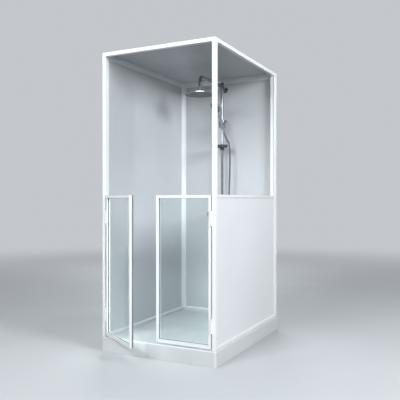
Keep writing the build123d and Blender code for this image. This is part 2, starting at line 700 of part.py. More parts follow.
def door_gasket():
    """Rubber ring round the pane, with a lip that shows past the frame."""
    deep = GLASS_INSERT
    half = DOOR_GROOVE_WIDTH / 2 - GASKET_FIT
    glass = GLASS_THICKNESS / 2 + GASKET_FIT
    top = DOOR_HEIGHT - DOOR_TOP_RAIL
    outer = (DOOR_STILE - deep, DOOR_BOTTOM_RAIL - deep, top + deep)
    inner = (DOOR_STILE + GASKET_LIP, DOOR_BOTTOM_RAIL + GASKET_LIP, top - GASKET_LIP)
    width = door_width()
    hole = block(inner[0], width - inner[0], -half, half, inner[1], inner[2])
    rings = []
    for y0, y1 in ((-half, -glass), (glass, half)):
        rings.append(block(outer[0], width - outer[0], y0, y1, outer[1], outer[2]) - hole)
    return rings


def meeting_seal():
    """Strip on a door's free edge."""
    width = door_width()
    front = -DOOR_THICKNESS / 2 + 1
    return block(width, width + MEETING_SEAL, front, front + MEETING_SEAL_DEPTH, 0, DOOR_HEIGHT)


def hinge_leaf(length):
    """Leaf against a face at X = 0, reaching back from the barrel."""
    front = HINGE_Y + HINGE_BARREL_RADIUS / 2
    return block(0, HINGE_LEAF, front, -OUTER_Y + HINGE_LEAF_DEPTH, 0, length)


def knuckle_spans():
    """Height ranges of the fixed end knuckles and of the moving middle one."""
    end = HINGE_LENGTH * HINGE_KNUCKLE_SHARE
    gap = HINGE_KNUCKLE_GAP
    fixed = ((0, end), (HINGE_LENGTH - end, HINGE_LENGTH))
    return fixed, (end + gap, HINGE_LENGTH - end - gap)


def hinge_parts():
    """Fixed leaf, moving leaf and pin of one hinge of the right door, standing on Z = 0."""
    fixed_spans, moving_span = knuckle_spans()
    bore = HINGE_PIN_RADIUS + HINGE_PIN_CLEARANCE
    swing = HINGE_BARREL_RADIUS + HINGE_KNUCKLE_GAP
    fixed = Pos(INNER_X - HINGE_LEAF, 0, 0) * hinge_leaf(HINGE_LENGTH)
    for z0, z1 in fixed_spans:
        fixed += rod(HINGE_X, HINGE_Y, z0, z1, HINGE_BARREL_RADIUS)
    fixed -= rod(HINGE_X, HINGE_Y, fixed_spans[0][1], fixed_spans[1][0], swing)
    moving = Pos(INNER_X - DOOR_HINGE_GAP, 0, 0) * hinge_leaf(HINGE_LENGTH)
    for z0, z1 in fixed_spans:
        moving -= rod(HINGE_X, HINGE_Y, z0 - HINGE_KNUCKLE_GAP, z1 + HINGE_KNUCKLE_GAP, swing)
    moving += rod(HINGE_X, HINGE_Y, *moving_span, HINGE_BARREL_RADIUS)
    whole = rod(HINGE_X, HINGE_Y, 0, HINGE_LENGTH, bore)
    fixed -= whole
    moving -= whole
    pin = rod(HINGE_X, HINGE_Y, -HINGE_TIP_HEIGHT, HINGE_LENGTH + HINGE_TIP_HEIGHT, HINGE_PIN_RADIUS)
    for z0 in (-HINGE_TIP_HEIGHT, HINGE_LENGTH):
        pin += hexagon(HINGE_X, HINGE_Y, z0, z0 + HINGE_TIP_HEIGHT, HINGE_TIP_WIDTH)
    return fixed, moving, pin


def at_hinge_heights(shape):
    """A hinge piece at each hinge of a door."""
    return [Pos(0, 0, z - HINGE_LENGTH / 2) * shape for z in HINGE_HEIGHTS]


def hinge_seal():
    """Seal on the post behind the hinge gap, between the hinges' fixed leaves."""
    y0 = -OUTER_Y + HINGE_SEAL_SETBACK
    x0 = INNER_X - HINGE_SEAL
    strip = block(x0, INNER_X, y0, y0 + HINGE_SEAL_DEPTH, DOOR_BOTTOM, DOOR_TOP)
    for z in HINGE_HEIGHTS:
        half = HINGE_LENGTH / 2 + PANEL_END_GAP
        strip -= block(x0, INNER_X, -OUTER_Y, INNER_Y, z - half, z + half)
    return strip


def closed_door(shape):
    """Move a piece of the door leaf to the right door's closed place, hinge edge outwards."""
    edge = INNER_X - DOOR_HINGE_GAP
    return Pos(edge, -OUTER_Y + DOOR_THICKNESS / 2, DOOR_BOTTOM) * Rot(0, 0, 180) * shape


def mirrored(shape):
    """The same piece on the other side of the cabin."""
    return mirror(shape, Plane.YZ)


def left_door(shape):
    """A piece of the left door, turned open about its hinge pins."""
    turn = Pos(-HINGE_X, HINGE_Y, 0) * Rot(0, 0, -DOOR_OPEN_ANGLE) * Pos(HINGE_X, -HINGE_Y, 0)
    return turn * mirrored(shape)


def save_doors():
    """Both door leaves with their hinges and seals."""
    leaf = {
        "stiles": door_stiles(), "rails": door_rails(),
        "glass": [door_glass()], "gasket": door_gasket(),
    }
    for name, shapes in leaf.items():
        closed = [closed_door(shape) for shape in shapes]
        save(each(closed), f"door_right_{name}")
        save(each(left_door(shape) for shape in closed), f"door_left_{name}")
    save(left_door(closed_door(meeting_seal())), "door_left_meeting_seal")
    fixed, moving, pin = hinge_parts()
    save(each(at_hinge_heights(fixed)), "hinge_right_fixed")
    save(each(at_hinge_heights(moving)), "hinge_right_moving")
    save(each(at_hinge_heights(pin)), "hinge_right_pins")
    save(each(mirrored(shape) for shape in at_hinge_heights(fixed)), "hinge_left_fixed")
    save(each(left_door(shape) for shape in at_hinge_heights(moving)), "hinge_left_moving")
    save(each(mirrored(shape) for shape in at_hinge_heights(pin)), "hinge_left_pins")
    seal = hinge_seal()
    save(each([*seal.solids(), *mirrored(seal).solids()]), "hinge_seals")


def riser():
    """Riser tube from the mixer's socket up into the arm's collar."""
    bottom = MIXER_SOCKET_TOP - MIXER_SOCKET_DEPTH
    top = ARM_Z + TUBE_RADIUS
    tube = rod(RISER_X, RISER_Y, bottom, top, TUBE_RADIUS)
    return tube - rod(RISER_X, RISER_Y, bottom, top, TUBE_RADIUS - TUBE_WALL)


def riser_bracket():
    """Upper wall bracket: rose, stem and the ring that the riser passes through."""
    middle = BRACKET_BOTTOM + BRACKET_HEIGHT / 2
    ring = rod(RISER_X, RISER_Y, BRACKET_BOTTOM, BRACKET_BOTTOM + BRACKET_HEIGHT, BRACKET_RADIUS)
    stem = tube_between((RISER_X, RISER_Y, middle), (RISER_X, REAR_FACE, middle), BRACKET_STEM_RADIUS)
    flat = tube_between(
        (RISER_X, REAR_FACE - ROSE_THICKNESS, middle), (RISER_X, REAR_FACE, middle), ROSE_RADIUS)
    rose = chamfer(flat.edges().group_by(Axis.Y)[0], ROSE_THICKNESS / 2)
    bore = rod(RISER_X, RISER_Y, BRACKET_BOTTOM, BRACKET_BOTTOM + BRACKET_HEIGHT, TUBE_RADIUS + TUBE_FIT)
    return ring + stem + rose - bore


def shower_arm():
    """Swivel collar on the riser's top and the bent tube that carries the rain head."""
    bottom = BRACKET_BOTTOM + BRACKET_HEIGHT + ARM_COLLAR_GAP
    collar = rod(RISER_X, RISER_Y, bottom, ARM_COLLAR_TOP, BRACKET_RADIUS)
    collar = chamfer(collar.faces().sort_by(Axis.Z)[-1].edges(), BRACKET_RADIUS / 3)
    start, corner, end = (RISER_X, RISER_Y, ARM_Z), (RISER_X, BALL_Y, ARM_Z), (RISER_X, BALL_Y, NUT_TOP)
    path = FilletPolyline(start, corner, end, radius=ARM_BEND_RADIUS)
    tube = sweep(Plane(origin=start, z_dir=(0, -1, 0)) * Circle(TUBE_RADIUS), path)
    bore = sweep(Plane(origin=start, z_dir=(0, -1, 0)) * Circle(TUBE_RADIUS - TUBE_WALL), path)
    socket = rod(RISER_X, RISER_Y, bottom, ARM_Z + TUBE_RADIUS + ARM_COLLAR_GAP, TUBE_RADIUS + TUBE_FIT)
    return collar + tube - bore - socket


def arm_nut():
    """Hexagonal nut that clamps the ball joint to the arm."""
    z0 = NUT_TOP - ARM_NUT_HEIGHT
    nut = hexagon(RISER_X, BALL_Y, z0, NUT_TOP, ARM_NUT_WIDTH)
    return nut - rod(RISER_X, BALL_Y, z0, NUT_TOP, BALL_NECK_RADIUS + TUBE_FIT)


def arc_points(radius, low, high):
    """Points on an arc from one angle above its centre to another, one to a flat band."""
    count = max(1, round((high - low) / BALL_BAND_ANGLE))
    angles = [radians(low + (high - low) * step / count) for step in range(count + 1)]
    return [(radius * cos(angle), radius * sin(angle)) for angle in angles]


def ball_joint():
    """Banded ball with its water way and the neck that passes up through the nut."""
    cut = degrees(asin(BALL_NECK_RADIUS / BALL_RADIUS))
    outline = arc_points(BALL_RADIUS, cut - 90, 90 - cut)
    bore = BALL_NECK_RADIUS / 2
    top = NUT_TOP - BALL_Z
    points = [(bore, outline[0][1]), *outline, (BALL_NECK_RADIUS, top), (bore, top)]
    joint = revolve(Plane.XZ * make_face(Polyline(*points, close=True)), Axis.Z)
    return Pos(RISER_X, BALL_Y, BALL_Z) * joint


def ball_seat():
    """Tapered seat ring between the ball and the hub's cup."""
    inner = BALL_RADIUS + BALL_GAP
    slant = radians(SEAT_HIGH_ANGLE - SEAT_LOW_ANGLE) / 2
    points = []
    for radius, angles in (
            (inner + SEAT_RING_THICKNESS, (SEAT_LOW_ANGLE, SEAT_HIGH_ANGLE)),
            (inner / cos(slant), (SEAT_HIGH_ANGLE, SEAT_LOW_ANGLE))):
        points += [(radius * cos(radians(angle)), radius * sin(radians(angle))) for angle in angles]
    ring = revolve(Plane.XZ * make_face(Polyline(*points, close=True)), Axis.Z)
    return Pos(RISER_X, BALL_Y, BALL_Z) * ring


def cup_space():
    """Space in the hub for the ball above its middle, and for the ball and its seat below."""
    inner = BALL_RADIUS + BALL_GAP
    band = radians(BALL_BAND_ANGLE) / 2
    opening = degrees(asin(HUB_ABOVE / inner))
    below = arc_points((inner + SEAT_RING_THICKNESS + BALL_GAP) / cos(band), -90, 0)
    above = arc_points(inner / cos(band), 0, opening)
    mouth = (inner * cos(radians(opening)), HUB_ABOVE)
    points = [*below, *above, mouth, (0, HUB_ABOVE)]
    return revolve(Plane.XZ * make_face(Polyline(*points, close=True)), Axis.Z)


def rain_head():
    """Hub cup round the ball, thin crowned disc and its deep rim."""
    hub_base = HEAD_TOP - BALL_Z
    rim_base = hub_base - HEAD_CROWN - HEAD_RIM
    outer = HEAD_RADIUS
    profile = Polyline(
        (0, rim_base + HEAD_RIM - HEAD_SHELL), (outer - HEAD_RIM_WIDTH, rim_base + HEAD_RIM - HEAD_SHELL),
        (outer - HEAD_RIM_WIDTH, rim_base), (outer, rim_base), (outer, rim_base + HEAD_RIM - 1),
        (outer - 1, rim_base + HEAD_RIM), (HUB_RADIUS + HEAD_CROWN, hub_base),
        (HUB_RADIUS, hub_base + HEAD_CROWN), (HUB_RADIUS, HUB_ABOVE), (0, HUB_ABOVE), close=True)
    head = revolve(Plane.XZ * make_face(profile), Axis.Z)
    head -= cup_space() + rod(0, 0, rim_base, 0, BALL_NECK_RADIUS)
    return Pos(RISER_X, BALL_Y, BALL_Z) * head


def nozzles(rings, radius, height):
    """Six-sided nozzles in rings, standing down from Z = 0."""
    tip = extrude(Pos(0, 0, -height) * RegularPolygon(radius, 6), height)
    return [place * tip for ring_radius, count in rings for place in PolarLocations(ring_radius, count)]


def nozzle_plate():
    """Plate in the underside of the rain head with rings of nozzles."""
    top = HEAD_TOP - HEAD_CROWN - HEAD_SHELL
    plate = rod(0, 0, -NOZZLE_PLATE_THICKNESS, 0, HEAD_RADIUS - HEAD_RIM_WIDTH - PLUG_CLEARANCE)
    plate += Pos(0, 0, -NOZZLE_PLATE_THICKNESS) * each(nozzles(NOZZLE_RINGS, NOZZLE_RADIUS, NOZZLE_HEIGHT))
    return Pos(RISER_X, BALL_Y, top) * plate


def slider():
    """Clamp block on the riser with the arm and pin that carry the handset holder."""
    block_top = SLIDER_BOTTOM + SLIDER_HEIGHT
    body = extrude(
        Pos(RISER_X, RISER_Y, SLIDER_BOTTOM) * RectangleRounded(SLIDER_WIDTH, SLIDER_DEPTH, SLIDER_FILLET),
        SLIDER_HEIGHT)
    body = chamfer(body.faces().sort_by(Axis.Z)[-1].edges(), 2)
    ear_end = PIVOT_HALF_WIDTH + PIVOT_GAP
    barrel = PIVOT - HANDSET_SIDE * (ear_end + PIVOT_BARREL / 2)
    reach = hypot(barrel.X - RISER_X, barrel.Y - RISER_Y)
    turn = degrees(atan2(barrel.Y - RISER_Y, barrel.X - RISER_X))
    arm = Pos(reach / 2, 0, 0) * Box(reach, SLIDER_ARM_WIDTH, SLIDER_ARM_HEIGHT)
    body += Pos(RISER_X, RISER_Y, PIVOT.Z) * Rot(0, 0, turn) * arm
    body -= across_pivot(-ear_end, 2 * ear_end, 2 * PIVOT_RADIUS)
    body += across_pivot(-ear_end - PIVOT_BARREL, -ear_end, PIVOT_RADIUS)
    body += across_pivot(-ear_end, ear_end, PIVOT_PIN_RADIUS)
    body += across_pivot(ear_end, ear_end + PIVOT_HEAD, PIVOT_HEAD_RADIUS)
    body -= rod(RISER_X, RISER_Y, SLIDER_BOTTOM, block_top, TUBE_RADIUS + TUBE_FIT)
    face = RISER_X + SLIDER_WIDTH / 2
    hole = tube_between((face - KNOB_STEM_INSERT, RISER_Y, KNOB_Z), (face, RISER_Y, KNOB_Z),
                        KNOB_STEM_RADIUS + TUBE_FIT)
    return body - hole


def across_pivot(start, end, radius):
    """Cylinder along the holder's pivot axis between two distances from its middle."""
    return tube_between(PIVOT + HANDSET_SIDE * start, PIVOT + HANDSET_SIDE * end, radius)


def notched(radius, length, notches, notch_radius):
    """Grip along +Z with notches round it and a chamfered end."""
    grip = rod(0, 0, 0, length, radius)
    grip = chamfer(grip.faces().sort_by(Axis.Z)[-1].edges(), radius / 8)
    notch = extrude(RegularPolygon(notch_radius, 4, rotation=45), length)
    return grip - [place * notch for place in PolarLocations(radius + notch_radius / 3, notches)]


def slider_knob():
    """Clamp knob on the slider's right side, with the stem that enters the block."""
    face = RISER_X + SLIDER_WIDTH / 2
    knob = Pos(0, 0, KNOB_GAP) * notched(KNOB_RADIUS, KNOB_LENGTH, KNOB_NOTCHES, KNOB_NOTCH_RADIUS)
    knob += rod(0, 0, KNOB_GAP - KNOB_STEM_INSERT, KNOB_GAP, KNOB_STEM_RADIUS)
    return Pos(face, RISER_Y, KNOB_Z) * Rot(0, 90, 0) * knob


def handle_radius(distance):
    """Radius of the tapered handle at a distance from its base, up to the end of its seat."""
    seat_end = HOLDER_START + HOLDER_LENGTH
    share = min(distance / seat_end, 1)
    return HANDLE_BASE_RADIUS + (HANDLE_SEAT_RADIUS - HANDLE_BASE_RADIUS) * share


def handset_holder():
    """Slotted tapered cup for the handset and the ear on the slider's pivot pin."""
    start, end = HOLDER_START, HOLDER_START + HOLDER_LENGTH
    outer = handle_radius(end) + HOLDER_GAP + HOLDER_WALL
    profile = Polyline(
        (handle_radius(start) + HOLDER_GAP, start), (outer, start), (outer, end),
        (handle_radius(end) + HOLDER_GAP, end), close=True)
    cup = HANDSET_PLANE * revolve(Plane.XZ * make_face(profile), Axis.Z)
    bore_profile = Polyline(
        (0, start - outer), (handle_radius(start) + HOLDER_GAP, start - outer),
        (handle_radius(start) + HOLDER_GAP, start), (handle_radius(end) + HOLDER_GAP, end),
        (handle_radius(end) + HOLDER_GAP, end + outer), (0, end + outer), close=True)
    bore = HANDSET_PLANE * revolve(Plane.XZ * make_face(bore_profile), Axis.Z)
    half = PIVOT_HALF_WIDTH
    ear = across_pivot(-half, half, PIVOT_RADIUS)
    link_plane = Plane(origin=PIVOT, x_dir=HANDSET_SIDE, z_dir=HOLDER_CENTRE - PIVOT)
    link = extrude(link_plane * Rectangle(2 * half, 2 * PIVOT_RADIUS - 1), PIVOT_BACK)
    hole = across_pivot(-half, half, PIVOT_PIN_RADIUS + TUBE_FIT)
    slot = block(-HOLDER_SLOT / 2, HOLDER_SLOT / 2, -2 * outer, 0, start, end)
    return cup + ear + link - hole - bore - HANDSET_PLANE * slot


def shower_head_plane():
    """Plane of the handset's spray face, centred on the head, facing along +Z."""
    tilt = radians(90 + SHOWER_HEAD_TILT)
    return Plane(origin=(0, 0, HANDSET_LENGTH), x_dir=(1, 0, 0), z_dir=(0, -sin(tilt), cos(tilt)))


def handset():
    """Tapered handle that runs into a round domed head with a recess for the spray face."""
    seat_end = HOLDER_START + HOLDER_LENGTH
    neck = HANDSET_LENGTH - SHOWER_HEAD_RADIUS
    handle_outline = Polyline(
        (0, 0), (HANDLE_BASE_RADIUS, 0), (HANDLE_SEAT_RADIUS, seat_end), (HANDLE_NECK_RADIUS, neck),
        (HANDLE_TIP_RADIUS, neck + SHOWER_HEAD_RADIUS / 2), (0, neck + SHOWER_HEAD_RADIUS / 2), close=True)
    handle = revolve(Plane.XZ * make_face(handle_outline), Axis.Z)
    depth, radius = SHOWER_HEAD_DEPTH, SHOWER_HEAD_RADIUS
    head_outline = Polyline(
        (0, 0), (radius - SHOWER_HEAD_EDGE, 0), (radius, -SHOWER_HEAD_EDGE), (radius, -depth * 0.35),
        (radius * 0.88, -depth * 0.65), (radius * 0.55, -depth * 0.92), (0, -depth), close=True)
    head = revolve(Plane.XZ * make_face(head_outline), Axis.Z)
    recess = SPRAY_FACE_RADIUS + SPRAY_FACE_CLEARANCE
    face_plane = shower_head_plane().offset(depth / 2)
    room = face_plane * rod(0, 0, -SPRAY_FACE_THICKNESS, radius, recess)
    return HANDSET_PLANE * (handle + face_plane * head - room)


def spray_face():
    """Spray face with rings of nozzles, in the handset's recess."""
    plate = rod(0, 0, 0, SPRAY_FACE_THICKNESS, SPRAY_FACE_RADIUS)
    plate += each(nozzles(SPRAY_RINGS, SPRAY_NOZZLE_RADIUS, NOZZLE_HEIGHT))
    face_plane = shower_head_plane().offset(SHOWER_HEAD_DEPTH / 2)
    return HANDSET_PLANE * (face_plane * (Rot(180, 0, 0) * plate))


def soap_dish():
    """Flared dish with round ends, drain slots and the clamp that slides on the riser."""
    centre = (RISER_X, RISER_Y - DISH_CENTRE_OFFSET)
    top = DISH_BOTTOM + DISH_HEIGHT
    clamp_bottom = DISH_BOTTOM - DISH_CLAMP_DROP

    def outline(inset, z):
        size = (DISH_LENGTH - 2 * inset, DISH_DEPTH - 2 * inset)
        return Pos(*centre, z) * RectangleRounded(*size, DISH_CORNER - inset)

    clamp = rod(RISER_X, RISER_Y, clamp_bottom, top, DISH_CLAMP_RADIUS)
    body = loft([outline(DISH_FLARE, DISH_BOTTOM), outline(0, top)], ruled=True) + clamp
    floor = outline(DISH_FLARE + DISH_WALL, DISH_BOTTOM + DISH_WALL)
    body -= loft([floor, outline(DISH_WALL, top)], ruled=True) - clamp
    slot = Box(DISH_SLOT_WIDTH, DISH_SLOT_LENGTH, 2 * DISH_WALL)
    row = Pos(centre[0], centre[1] - DISH_WALL, DISH_BOTTOM + DISH_WALL / 2)
    body -= [row * place * slot for place in GridLocations(DISH_SLOT_PITCH, 1, DISH_SLOTS, 1)]
    return body - rod(RISER_X, RISER_Y, clamp_bottom, top, TUBE_RADIUS + TUBE_FIT)


def inlet_places():
    """Cold and hot inlets on both sides of the riser."""
    return (RISER_X - INLET_SPACING / 2, RISER_X + INLET_SPACING / 2)


def mixer_body():
    """Bar mixer: body, riser socket, inlet nuts, hose outlet and knob spindles."""
    half = MIXER_LENGTH / 2
    body = tube_between((RISER_X - half, RISER_Y, MIXER_Z), (RISER_X + half, RISER_Y, MIXER_Z), MIXER_RADIUS)
    body = chamfer(body.edges().filter_by(GeomType.CIRCLE), MIXER_SHOULDER)
    spindle = half + MIXER_SPINDLE_LENGTH
    body += tube_between(
        (RISER_X - spindle, RISER_Y, MIXER_Z), (RISER_X + spindle, RISER_Y, MIXER_Z), MIXER_SPINDLE_RADIUS)
    body += rod(RISER_X, RISER_Y, MIXER_Z, MIXER_SOCKET_TOP, MIXER_SOCKET_RADIUS)
    body -= rod(RISER_X, RISER_Y, MIXER_SOCKET_TOP - MIXER_SOCKET_DEPTH, MIXER_SOCKET_TOP,
                TUBE_RADIUS + TUBE_FIT)
    outlet = MIXER_Z - MIXER_RADIUS - HOSE_OUTLET_LENGTH
    return body + rod(HOSE_OUTLET_X, RISER_Y, outlet, MIXER_Z, HOSE_OUTLET_RADIUS)


def inlet_unions():
    """Nut, stem and rose of each inlet, and the tail with its backnut behind the wall."""
    half = MIXER_LENGTH / 2
    body = tube_between(
        (RISER_X - half, RISER_Y, MIXER_Z), (RISER_X + half, RISER_Y, MIXER_Z), MIXER_RADIUS + TUBE_FIT)
    unions = []
    for x in inlet_places():
        plane = Plane(origin=(x, RISER_Y, MIXER_Z), z_dir=(0, 1, 0))
        nut = extrude(plane * RegularPolygon(INLET_NUT_WIDTH / 2, 6, major_radius=False),
                      MIXER_RADIUS + INLET_NUT_LENGTH)
        stem = tube_between((x, RISER_Y + MIXER_RADIUS, MIXER_Z), (x, REAR_FACE, MIXER_Z), INLET_STEM_RADIUS)
        rose = extrude(plane.offset(RISER_WALL_DISTANCE - INLET_ROSE_THICKNESS) * Circle(INLET_ROSE_RADIUS),
                       INLET_ROSE_THICKNESS)
        rose = chamfer(rose.edges().group_by(Axis.Y)[0], INLET_ROSE_THICKNESS / 2)
        tail = tube_between((x, REAR_FACE, MIXER_Z), (x, TRAY_DEPTH / 2 + TAIL_REACH, MIXER_Z), TAIL_RADIUS)
        backnut = extrude(plane.offset(RISER_WALL_DISTANCE + WALL_THICKNESS) * RegularPolygon(
            BACKNUT_WIDTH / 2, 6, major_radius=False), TRAY_DEPTH / 2 - REAR_FACE - WALL_THICKNESS)
        unions.append(nut + stem + rose + tail + backnut - body)
    return each(unions)


def mixer_knob(side):
    """Notched end knob with its thumb lever, turning on the spindle."""
    knob = notched(MIXER_KNOB_RADIUS, MIXER_KNOB_LENGTH, MIXER_KNOB_NOTCHES, MIXER_KNOB_NOTCH_RADIUS)
    lever = block(-2 * MIXER_SHOULDER, 2 * MIXER_SHOULDER, 0, MIXER_KNOB_RADIUS + KNOB_LEVER_LENGTH / 2,
                  0, KNOB_LEVER_LENGTH)
    knob += fillet(lever.edges().filter_by(Axis.X).sort_by(Axis.Y)[-2:], MIXER_SHOULDER)
    knob -= rod(0, 0, 0, MIXER_SPINDLE_LENGTH, MIXER_SPINDLE_RADIUS + TUBE_FIT)
    turn = Rot(0, 90, 0) * Rot(0, 0, -90) if side > 0 else Rot(0, -90, 0) * Rot(0, 0, -90)
    start = RISER_X + side * (MIXER_LENGTH / 2 + MIXER_KNOB_GAP)
    return Pos(start, RISER_Y, MIXER_Z) * turn * knob


def hose_nut():
    """Tapered nut that stands on Z = 0 with its wide end up."""
    profile = Polyline(
        (0, 0), (HOSE_NUT_WAIST, 0), (HOSE_NUT_RADIUS, HOSE_NUT_LENGTH / 3),
        (HOSE_NUT_RADIUS, HOSE_NUT_LENGTH), (0, HOSE_NUT_LENGTH), close=True)
    return revolve(Plane.XZ * make_face(profile), Axis.Z)


def hose_nut_upper():
    """Nut below the handset's base, on the handset's axis."""
    return HANDSET_PLANE * Pos(0, 0, -HOSE_NUT_LENGTH) * hose_nut()


def hose_nut_lower():
    """Nut below the mixer's hose outlet."""
    top = MIXER_Z - MIXER_RADIUS - HOSE_OUTLET_LENGTH
    return Pos(HOSE_OUTLET_X, RISER_Y, top - HOSE_NUT_LENGTH) * hose_nut()


def hose_points():
    """Route of the hose from the handset's nut down, round its loop and up to the mixer's nut."""
    start = HANDSET_BASE - HANDSET_AXIS * HOSE_NUT_LENGTH
    below = start - HANDSET_AXIS * HOSE_RUN_OUT
    bends = [Vector(RISER_X + x, RISER_Y + y, z) for x, y, z in HOSE_BENDS]
    end = Vector(HOSE_OUTLET_X, RISER_Y, MIXER_Z - MIXER_RADIUS - HOSE_OUTLET_LENGTH - HOSE_NUT_LENGTH)
    rise = Vector(HOSE_OUTLET_X, RISER_Y, bends[-2].Z + HOSE_RISE)
    return [start, below, *bends, rise, end]


def hose():
    """Plain tube along the route, each bend as wide as its two runs allow."""
    points = hose_points()
    radii = []
    length = sum((b - a).length for a, b in zip(points, points[1:]))
    for before, point, after in zip(points, points[1:], points[2:]):
        run_in, run_out = point - before, after - point
        half_turn = radians(run_in.get_angle(run_out)) / 2
        shorter = min(run_in.length, run_out.length)
        radius = 0.45 * shorter / tan(half_turn)
        radii.append(radius)
        length -= 2 * radius * (tan(half_turn) - half_turn)
    path = FilletPolyline(*points, radius=radii)
    start = Plane(origin=points[0], z_dir=points[1] - points[0])
    tube = sweep(start * Circle(HOSE_RADIUS), path)
    print("hose radii", [round(radius) for radius in radii], "length", round(length))
    return tube


def save_cabin():
    """Tray, frame, walls and roof."""
    save(tray(), "shower_tray")
    save(feet(), "tray_feet")
    save(waste_body(), "waste_body")
    save(waste_cover(), "waste_cover")
    for end, end_name in ((-1, "front"), (1, "rear")):
        for side, side_name in ((-1, "left"), (1, "right")):
            save(post(side, end), f"post_{end_name}_{side_name}")
    save(post_caps(), "post_caps")
    for name, plane in rail_planes().items():
        save(rail(*plane), name)
    save(corner_connectors(), "corner_connectors")
    save(base_gasket(), "base_gasket")
    save(roof_panel(), "roof_panel")
    save(wall_channels(), "wall_channels")
    save(wall_rear(), "wall_rear")
    save(wall_left(), "wall_left")
    save(jamb(), "jamb_rear_right")
    save(side_rail(TRAY_HEIGHT + BASE_GASKET, SIDE_BOTTOM_RAIL, True), "side_rail_bottom")
    save(side_rail(SIDE_PANEL_TOP - SIDE_TOP_RAIL, SIDE_TOP_RAIL, False), "side_rail_top")
    save(side_panel(), "side_panel")


def save_column():
    """Riser, arm, rain head, handset, dish, mixer and hose."""
    save(riser(), "riser")
    save(riser_bracket(), "riser_bracket")
    save(shower_arm(), "shower_arm")
    save(arm_nut(), "arm_nut")
    save(ball_joint(), "ball_joint")
    save(ball_seat(), "ball_seat")
    save(rain_head(), "rain_head")
    save(nozzle_plate(), "nozzle_plate")
    save(slider(), "slider")
    save(slider_knob(), "slider_knob")
    save(handset_holder(), "handset_holder")
    save(handset(), "handset")
    save(spray_face(), "spray_face")
    save(soap_dish(), "soap_dish")
    save(mixer_body(), "mixer_body")
    save(inlet_unions(), "inlet_unions")
    save(mixer_knob(1), "temperature_knob")
    save(mixer_knob(-1), "flow_knob")
    save(hose_nut_upper(), "hose_nut_upper")
    save(hose_nut_lower(), "hose_nut_lower")
    save(hose(), "hose")


os.makedirs("parts", exist_ok=True)
save_cabin()
save_doors()
save_column()
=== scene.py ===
import json
from math import cos, pi, radians, sin

import bmesh
import bpy
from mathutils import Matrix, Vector


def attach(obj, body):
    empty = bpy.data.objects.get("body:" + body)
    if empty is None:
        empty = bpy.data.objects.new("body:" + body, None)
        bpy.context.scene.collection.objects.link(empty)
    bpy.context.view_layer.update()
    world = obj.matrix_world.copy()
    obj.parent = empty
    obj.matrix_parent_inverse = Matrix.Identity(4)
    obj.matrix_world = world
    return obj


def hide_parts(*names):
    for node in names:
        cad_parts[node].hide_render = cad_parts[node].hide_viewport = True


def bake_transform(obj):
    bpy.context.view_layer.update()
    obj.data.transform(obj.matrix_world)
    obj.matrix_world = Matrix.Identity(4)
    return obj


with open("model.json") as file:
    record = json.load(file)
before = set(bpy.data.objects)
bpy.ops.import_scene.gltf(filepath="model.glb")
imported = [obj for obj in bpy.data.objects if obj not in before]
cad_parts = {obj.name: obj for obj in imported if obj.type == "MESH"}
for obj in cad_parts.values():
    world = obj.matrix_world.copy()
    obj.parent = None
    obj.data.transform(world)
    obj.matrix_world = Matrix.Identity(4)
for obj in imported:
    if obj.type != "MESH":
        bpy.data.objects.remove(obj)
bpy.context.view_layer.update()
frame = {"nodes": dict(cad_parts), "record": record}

# Camera
EYE = Vector((1.9439, -3.7688, 1.0820))
LOOK = Vector((-0.4524, 0.8918, -0.0023))
LENS = 49.57
SENSOR = 36.0
SIGHT = 100.0

# Hose route, from the handset's nut down, round the loop and up to the mixer's nut
HOSE_ROUTE = [
    (0.02274, 0.46926, 1.63918), (0.0321, 0.49242, 1.58462), (0.069, 0.494, 1.540),
    (0.060, 0.492, 1.110), (0.058, 0.464, 0.990), (0.066, 0.465, 0.810), (0.067, 0.472, 0.6185),
    (0.020, 0.482, 0.5715), (-0.048, 0.494, 0.5715), (-0.095, 0.503, 0.6185),
    (-0.094, 0.508, 0.7615), (-0.094, 0.508, 0.896),
]
HOSE_DIAMETER = 0.014
HOSE_RIB_PITCH = 0.0032
HOSE_RIB_DEPTH = 0.0007
HOSE_SIDES = 18
ROUTE_FINENESS = 40
RIB_STEPS = 4
TOP_STRETCH = 0.103
SPARE_LENGTH = 0.052
LEG_FOOT = 0.66

# Studio: tones, and the place, target, size and power of each lamp
FLOOR_HALF = 40.0
FLOOR_DROP = 0.0005
FLOOR_TONE = (0.50, 0.51, 0.525)
FLOOR_SPREAD = 1.04
FLOOR_FADE = (2.2, 9.0)
FLOOR_BOUNCE = (0.13, 0.13, 0.135)
BACKDROP = (0.55, 0.57, 0.60)
AMBIENT = 0.08
AMBIENT_TINT = (0.93, 0.95, 1.0)
LAMP_TINT = (0.93, 0.978, 1.0)
MIRRORED_LAMPS = ("strip", "back")
LAMPS = (
    ("key", (-0.8, -5.2, 3.7), (0.0, 0.0, 1.0), (2.4, 2.4), 255.0),
    ("strip", (2.3, -4.7, 2.6), (0.0, 0.2, 1.3), (7.0, 0.9), 75.0),
    ("side", (4.8, -1.6, 2.9), (0.0, 0.0, 0.9), (1.6, 1.6), 245.0),
    ("top", (0.0, -0.5, 5.0), (0.0, 0.0, 1.0), (3.0, 3.0), 40.0),
    ("back", (-2.5, 4.5, 3.0), (0.0, 0.0, 1.0), (3.0, 3.0), 110.0),
)

# Nodes with a material of their own; the roof and the shower arm's parts get darker copies that are painted
# shade
OWN_MATERIAL = {
    "side_panel": "panel", "roof_panel": "roof_painted_shade", "rain_head": "head_chrome", "shower_arm": "arm_chrome_painted_shade",
    "arm_nut": "arm_chrome_painted_shade", "ball_joint": "arm_chrome_painted_shade", "riser_bracket": "arm_chrome_painted_shade",
}

# Edges and grain that every material shares
EDGE_WIDTH = 0.0006
EDGE_ANGLE = 50
MIDDLE = (0.3, 0.7)

# Rain head: its axis, where its satin ends and its bright rim starts, and the roughness of the two
HEAD_AXIS = (-0.014, 0.093)
HEAD_SATIN = (0.05, 0.09)
HEAD_ROUGH = (0.5, 0.06)

